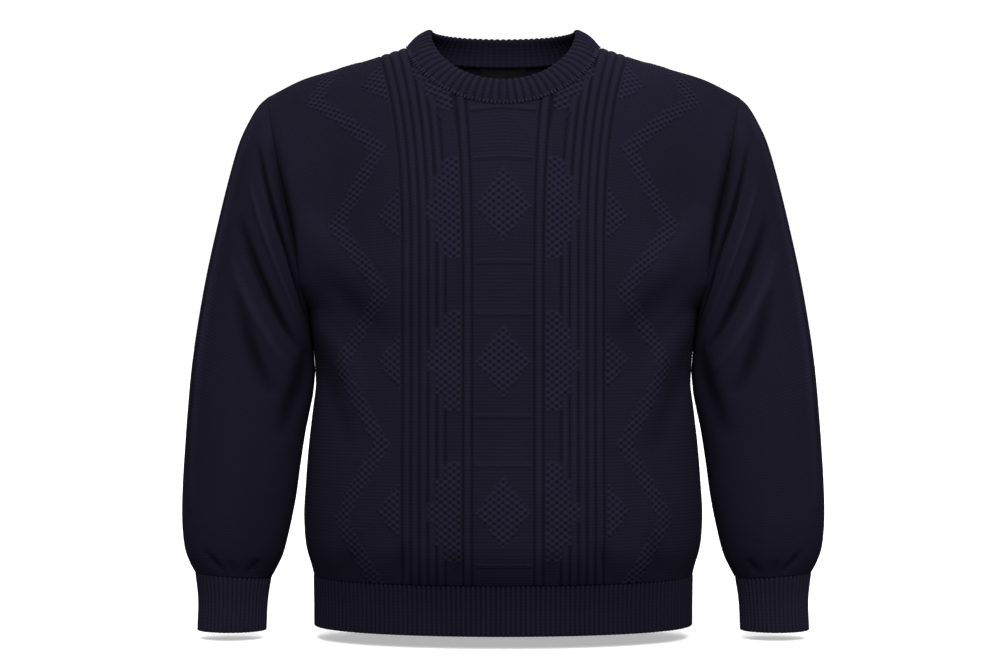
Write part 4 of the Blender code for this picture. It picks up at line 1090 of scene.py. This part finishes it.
def hem_ring(z, columns):
    """A closed ring of the hem rib, evenly spaced, anticlockwise from the centre back."""
    front_half, back_half = lower_course(z, -1, HEM), lower_course(z, 1, HEM)
    one_side = np.concatenate([back_half[:-1], front_half[::-1]])
    other = one_side[::-1][1:].copy()
    other[:, 0] *= -1
    loop = np.concatenate([one_side, other])[::-1]
    run = lengths(loop)
    at = np.linspace(0, run[-1], columns, endpoint=False)
    return np.stack([np.interp(at, run, loop[:, k]) for k in range(3)], axis=1)


def ribbed(name, middle, normals, material, rise, flip=False):
    """A ribbed band from the grid of its outer face, with rounded edges and a grooved inner face.

    Its rows go up. The inner face keeps a few of them. Both edges bulge by shares of the wall's thickness.
    """
    rows = len(middle)
    up = unit(np.gradient(middle, axis=0))
    lines = [(i, 0.0, 0.0) for i in range(rows)]
    lines += [(rows - 1, depth, lift) for depth, lift in RIB_EDGE]
    lines += [(int(i), 1.0, 0.0) for i in np.linspace(rows - 1, 0, INNER_ROWS)]
    lines += [(0, depth, -lift) for depth, lift in RIB_EDGE[::-1]]
    points = np.array(
        [middle[i] - normals[i] * depth * WALL + up[i] * lift * WALL for i, depth, lift in lines]
    )
    outward = np.array([normals[i] for i, _, _ in lines])
    shape = points.shape[:2]
    numbers = plain_knit(np.zeros(shape))
    numbers["rib"] = np.ones(shape)
    numbers["wale"] = np.broadcast_to(2.0 * np.arange(shape[1]) / RIB_COLUMNS, shape)
    numbers["course"] = np.broadcast_to(np.array([i / 2.0 for i, _, _ in lines])[:, None], shape)
    ids = np.arange(shape[0] * shape[1]).reshape(shape)
    faces = grid_faces(ids, closed_across=True, closed_up=True)
    if flip:
        faces = [face[::-1] for face in faces]
    item = smooth_object(name, points, faces, numbers, outward)
    return knitted(item, material, rib_rise=rise * RIB_RELIEF)


# The same wool in ribs, with less painted shade and highlight, because their relief already shades them.
RIB_WOOL = wool_knit("navy_wool_ribbing", WOOL_LIT, WOOL_SHADED, LEG_DEPTH, 0.22)
hem_levels = np.linspace(HEM_Z, RIB_TOP_Z, int(round(2 * (RIB_TOP_Z - HEM_Z) / COURSE)) + 1)
hem_grid = np.array([hem_ring(z, HEM_RIBS * RIB_COLUMNS) for z in hem_levels])
hem_normals = grid_normals(hem_grid, closed=True)
hem_grid = hem_grid + hem_normals * HEM_RISE / 2
hem = ribbed("hem_ribbing", hem_grid, hem_normals, RIB_WOOL, HEM_RISE)
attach(hem, "root")
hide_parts("hem_rib")

# The same wool in the cuffs' flatter ribs, coloured a little paler than the body's to match the photograph.
CUFF_WOOL = wool_knit("navy_wool_cuff_ribbing", "#2c293b", "#15131d", LEG_DEPTH, 0.18)
cuff_rows = np.linspace(len(CUFF) - 1, 0, int(round(2 * CUFF_LENGTH / COURSE)) + 1)
for word, sign in (("left", 1), ("right", -1)):
    cuff_turns = -np.linspace(0, 2 * math.pi, CUFF_RIBS * RIB_COLUMNS, endpoint=False)
    cuff_grid = np.array([ring_line(CUFF, at, cuff_turns) for at in cuff_rows])
    cuff_normals = grid_normals(cuff_grid, closed=True)
    cuff_grid = cuff_grid + cuff_normals * CUFF_RISE / 2
    cuff_grid[:, :, 0] *= sign
    cuff_normals[:, :, 0] *= sign
    name = f"cuff_{word}_ribbing"
    cuff = ribbed(name, cuff_grid, cuff_normals, CUFF_WOOL, CUFF_RISE, flip=sign < 0)
    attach(cuff, "root")
    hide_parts(f"cuff_{word}")

# ---------------------------------------------------------------- the neckband
# A crew band of single rib, folded double and linked to the neck's seam. It stands up from the seam, swells
# a little, and turns in over its fold. Its ribs run over the fold and down the inner side.

BAND_HALF_WIDTH = 0.085
BAND_TOP_Z, BAND_FRONT_DROP, BAND_BACK_DROP = 0.0235, 0.0675, 0.0045
BAND_FRONT_Y, BAND_BACK_Y = -0.088, 0.056
BAND_FRONT_POWER, BAND_BACK_POWER = 1.1, 1.0
BAND_SWELL, BAND_WALL = 0.0028, 0.0050
NECK_RIB_COLUMNS = 8
BAND_ROUND, BAND_RIB_FADE, NECK_RELIEF = 0.12, 0.6, 0.6
OUTER_ROWS, FOLD_ROWS, BAND_INNER_ROWS = 14, 9, 10
NUDGE = 0.002


def on_cloth(level, side, place):
    """A point of a panel's cloth and the direction out of it."""
    out = on_course(level, side, [place + NUDGE])[0] - on_course(level, side, [place - NUDGE])[0]
    up = on_course(min(level + NUDGE, 2), side, [place])[0] - on_course(level - NUDGE, side, [place])[0]
    return on_course(level, side, [place])[0], unit(np.cross(out, up)) * -side


def neck_quarter(columns, side):
    """A quarter of the neck's seam, evenly spaced from the centre line to the shoulder.

    Gives its points, the directions square to the cloth, and those in the cloth towards the neck.
    """
    seam_places, seam_levels, run = NECK[side]
    at = np.linspace(0, run[-1], columns // 4 + 1)
    found = [
        on_cloth(np.interp(d, run, seam_levels), side, np.interp(d, run, seam_places)) for d in at
    ]
    line = np.array([point for point, _ in found])
    square = np.array([way for _, way in found])
    square[-1, 1] = square[0, 0] = 0
    inward = unit(np.cross(unit(square), np.gradient(line, axis=0))) * -side
    inward[-1, 1] = inward[0, 0] = 0
    return line, unit(square), unit(inward)


def around(front_quarter, back_quarter):
    """A whole ring from its quarters, anticlockwise from the centre front."""
    one_side = np.concatenate([front_quarter, back_quarter[::-1][1:]])
    other = one_side[::-1][1:-1].copy()
    other[:, 0] *= -1
    return np.concatenate([one_side, other])


def fold_quarter(columns, reach, drop, power):
    """A quarter of the band's fold, from the centre line to the shoulder."""
    turn = np.linspace(0, math.pi / 2, columns // 4 + 1)
    z = BAND_TOP_Z - drop * np.cos(turn) ** power
    return np.stack([BAND_HALF_WIDTH * np.sin(turn), reach * np.cos(turn), z], axis=1)


def make_neckband(material):
    """The folded band as one closed profile: up its outer face, over the fold and down its inner face."""
    columns = NECK_RIBS * NECK_RIB_COLUMNS
    pairs = zip(neck_quarter(columns, -1), neck_quarter(columns, 1))
    seam, square, _ = (around(first, second) for first, second in pairs)
    fold_line = around(
        fold_quarter(columns, BAND_FRONT_Y, BAND_FRONT_DROP, BAND_FRONT_POWER),
        fold_quarter(columns, BAND_BACK_Y, BAND_BACK_DROP, BAND_BACK_POWER),
    )
    tangent = unit(np.roll(fold_line, -1, axis=0) - np.roll(fold_line, 1, axis=0))
    rising = unit(fold_line - seam)
    upright = unit(np.cross(tangent, rising))
    over = np.linspace(0, math.pi, FOLD_ROWS)
    profile = [(up, 0.0, 0.0) for up in np.linspace(0, 1 - BAND_ROUND, OUTER_ROWS)[:-1]]
    profile += [
        (1 - BAND_ROUND * (1 - math.sin(t)), BAND_WALL * (1 - math.cos(t)) / 2, t) for t in over
    ]
    profile += [(up, BAND_WALL, math.pi) for up in np.linspace(1 - BAND_ROUND, 0, BAND_INNER_ROWS)[1:]]
    points, outward = [], []
    for up, depth, turn in profile:
        facing = unit(square * (1 - up) + upright * up)
        swell = facing * (BAND_SWELL * math.sin(math.pi * up) - depth)
        points.append(seam + (fold_line - seam) * up + swell)
        outward.append(facing * math.cos(turn) + rising * math.sin(turn))
    points, outward = np.array(points), np.array(outward)
    run = lengths(points[:, 0])
    shape = points.shape[:2]
    numbers = plain_knit(np.zeros(shape))
    ribs = np.array([1.0 - BAND_RIB_FADE * (1 - math.cos(turn)) / 2 for _, _, turn in profile])
    numbers["rib"] = np.repeat(ribs[:, None], columns, axis=1)
    numbers["wale"] = np.broadcast_to(2.0 * np.arange(columns) / NECK_RIB_COLUMNS, shape)
    numbers["course"] = np.broadcast_to((run / COURSE)[:, None], shape)
    ids = np.arange(shape[0] * shape[1]).reshape(shape)
    faces = grid_faces(ids, closed_across=True, closed_up=True)
    points = points + outward * NECK_RISE / 2
    item = smooth_object("neckband_ribbing", points, faces, numbers, outward)
    return knitted(item, material, rib_rise=NECK_RISE * NECK_RELIEF)


LINKS, LINK_RINGS, LINK_SIDES = 172, 6, 8
LINK_LENGTH, LINK_WIDTH, LINK_THICK = 0.0060, 0.0014, 0.0012
LINK_OUT, LINK_UP = 0.0015, 0.0018


def linking_stitches(count, material):
    """The row of small upright stitches that links the band to the neck, one bead of yarn for each."""
    pairs = zip(neck_quarter(count, -1), neck_quarter(count, 1))
    seam, square, inward = (around(first, second) for first, second in pairs)
    tangent = unit(np.roll(seam, -1, axis=0) - np.roll(seam, 1, axis=0))
    rise = np.linspace(0, math.pi, LINK_RINGS)[:, None]
    turn = np.linspace(0, 2 * math.pi, LINK_SIDES, endpoint=False)[None, :]
    long = np.cos(rise) * np.ones_like(turn) * LINK_LENGTH / 2
    wide = np.sin(rise) * np.cos(turn) * LINK_WIDTH / 2
    thick = np.sin(rise) * np.sin(turn) * LINK_THICK / 2
    bead = np.stack([long, wide, thick], axis=-1).reshape(-1, 3)
    ids = np.arange(LINK_RINGS * LINK_SIDES).reshape(LINK_RINGS, LINK_SIDES)
    quads = np.array(grid_faces(ids, closed_across=True))
    points, faces = [], []
    for k in range(count):
        middle = seam[k] + square[k] * LINK_OUT + inward[k] * LINK_UP
        ways = np.array([inward[k], tangent[k], square[k]])
        points.append(middle + bead @ ways)
        faces += (quads + k * len(bead)).tolist()
    mesh = bpy.data.meshes.new("linking_stitches")
    mesh.from_pydata(np.concatenate(points).tolist(), [], faces)
    mesh.materials.append(material)
    mesh.shade_smooth()
    item = bpy.data.objects.new("linking_stitches", mesh)
    bpy.context.scene.collection.objects.link(item)
    return item


# The same wool in single short beads, coloured paler as a painted highlight, so that they read as a light
# dotted line.
LINKING_WOOL_PAINTED_HIGHLIGHT = wool_knit("navy_wool_linking", "#3a3749", "#1c1a26", 0.0002, 0.0)
links = linking_stitches(LINKS, LINKING_WOOL_PAINTED_HIGHLIGHT)
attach(links, "root")

band = make_neckband(RIB_WOOL)
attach(band, "root")
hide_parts("neckband")

# ---------------------------------------------------------------- the neck label
# A bare woven label, black satin, sewn by its top edge inside the back neck. It hangs on the back's inner
# face, and carries no words.

LABEL_HALF_WIDTH, LABEL_LENGTH, LABEL_THICK = 0.027, 0.026, 0.0008
LABEL_TOP, LABEL_OFF = 0.002, 0.0008
LABEL_ROWS, LABEL_COLUMNS = 9, 13
LABEL_LOWEST_LEVEL, LABEL_SAMPLES = 1.6, 60
SHARP_FROM = 40


def label_grid(off):
    """The label's grid of points, off from the back's inner face: down the cloth from the neck's seam."""
    columns = []
    for x in np.linspace(-LABEL_HALF_WIDTH, LABEL_HALF_WIDTH, LABEL_COLUMNS):
        seam_level = np.interp(abs(x), *NECK[1][:2])
        levels = np.linspace(seam_level, LABEL_LOWEST_LEVEL, LABEL_SAMPLES)
        line, ways = (np.array(found) for found in zip(*(on_cloth(level, 1, abs(x)) for level in levels)))
        at = np.linspace(LABEL_TOP, LABEL_TOP + LABEL_LENGTH, LABEL_ROWS)
        run, face = lengths(line), line - ways * (WALL + off)
        laid = np.stack([np.interp(at, run, face[:, k]) for k in range(3)], axis=1)
        laid[:, 0] = x
        columns.append(laid)
    return np.stack(columns, axis=1)[::-1]


THREAD_SPACING, THREAD_DEPTH = 0.0004488, 0.00006


def satin(name, hex_colour):
    """Black woven satin: fine threads across, with a soft gloss along them.

    The threads are drawn about three times as coarse as real ones, so that they show. A wave texture of
    scale 1 has 20 radians to the metre.
    """
    material = bpy.data.materials.new(name)
    material.use_nodes = True
    tree = material.node_tree
    shader = tree.nodes["Principled BSDF"]
    place = add(tree, "ShaderNodeTexCoord").outputs["Object"]
    settings = {"wave_type": "BANDS", "bands_direction": "Z"}
    wave = {"Vector": place, "Scale": 2 * math.pi / (20 * THREAD_SPACING), "Distortion": 0.3}
    threads = add(tree, "ShaderNodeTexWave", settings, wave)
    relief = {"Height": threads.outputs["Fac"], "Distance": THREAD_DEPTH}
    bump = add(tree, "ShaderNodeBump", None, relief)
    tree.links.new(bump.outputs["Normal"], shader.inputs["Normal"])
    shader.inputs["Base Color"].default_value = (*linear(hex_colour), 1)
    shader.inputs["Roughness"].default_value = 0.45
    shader.inputs["Specular IOR Level"].default_value = 0.35
    return material


near_face, far_face = label_grid(LABEL_OFF), label_grid(LABEL_OFF + LABEL_THICK)
label_points = np.concatenate([near_face.reshape(-1, 3), far_face.reshape(-1, 3)])
first = np.arange(LABEL_ROWS * LABEL_COLUMNS).reshape(LABEL_ROWS, LABEL_COLUMNS)
second = first + LABEL_ROWS * LABEL_COLUMNS
label_faces = [face[::-1] for face in grid_faces(first)] + grid_faces(second)
for one, two, keep in (
    (first[0], second[0], True),
    (first[-1], second[-1], False),
    (first[:, 0], second[:, 0], False),
    (first[:, -1], second[:, -1], True),
):
    label_faces += [face if keep else face[::-1] for face in zipped(one.tolist(), two.tolist())]
label_mesh = bpy.data.meshes.new("neck_label_satin")
label_mesh.from_pydata(label_points.tolist(), [], label_faces)
label_mesh.materials.append(satin("black_satin_label", "#0c0c0f"))
label_mesh.shade_smooth()
label_mesh.set_sharp_from_angle(angle=math.radians(SHARP_FROM))
label = bpy.data.objects.new("neck_label_satin", label_mesh)
bpy.context.scene.collection.objects.link(label)
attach(label, "root")
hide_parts("neck_label")
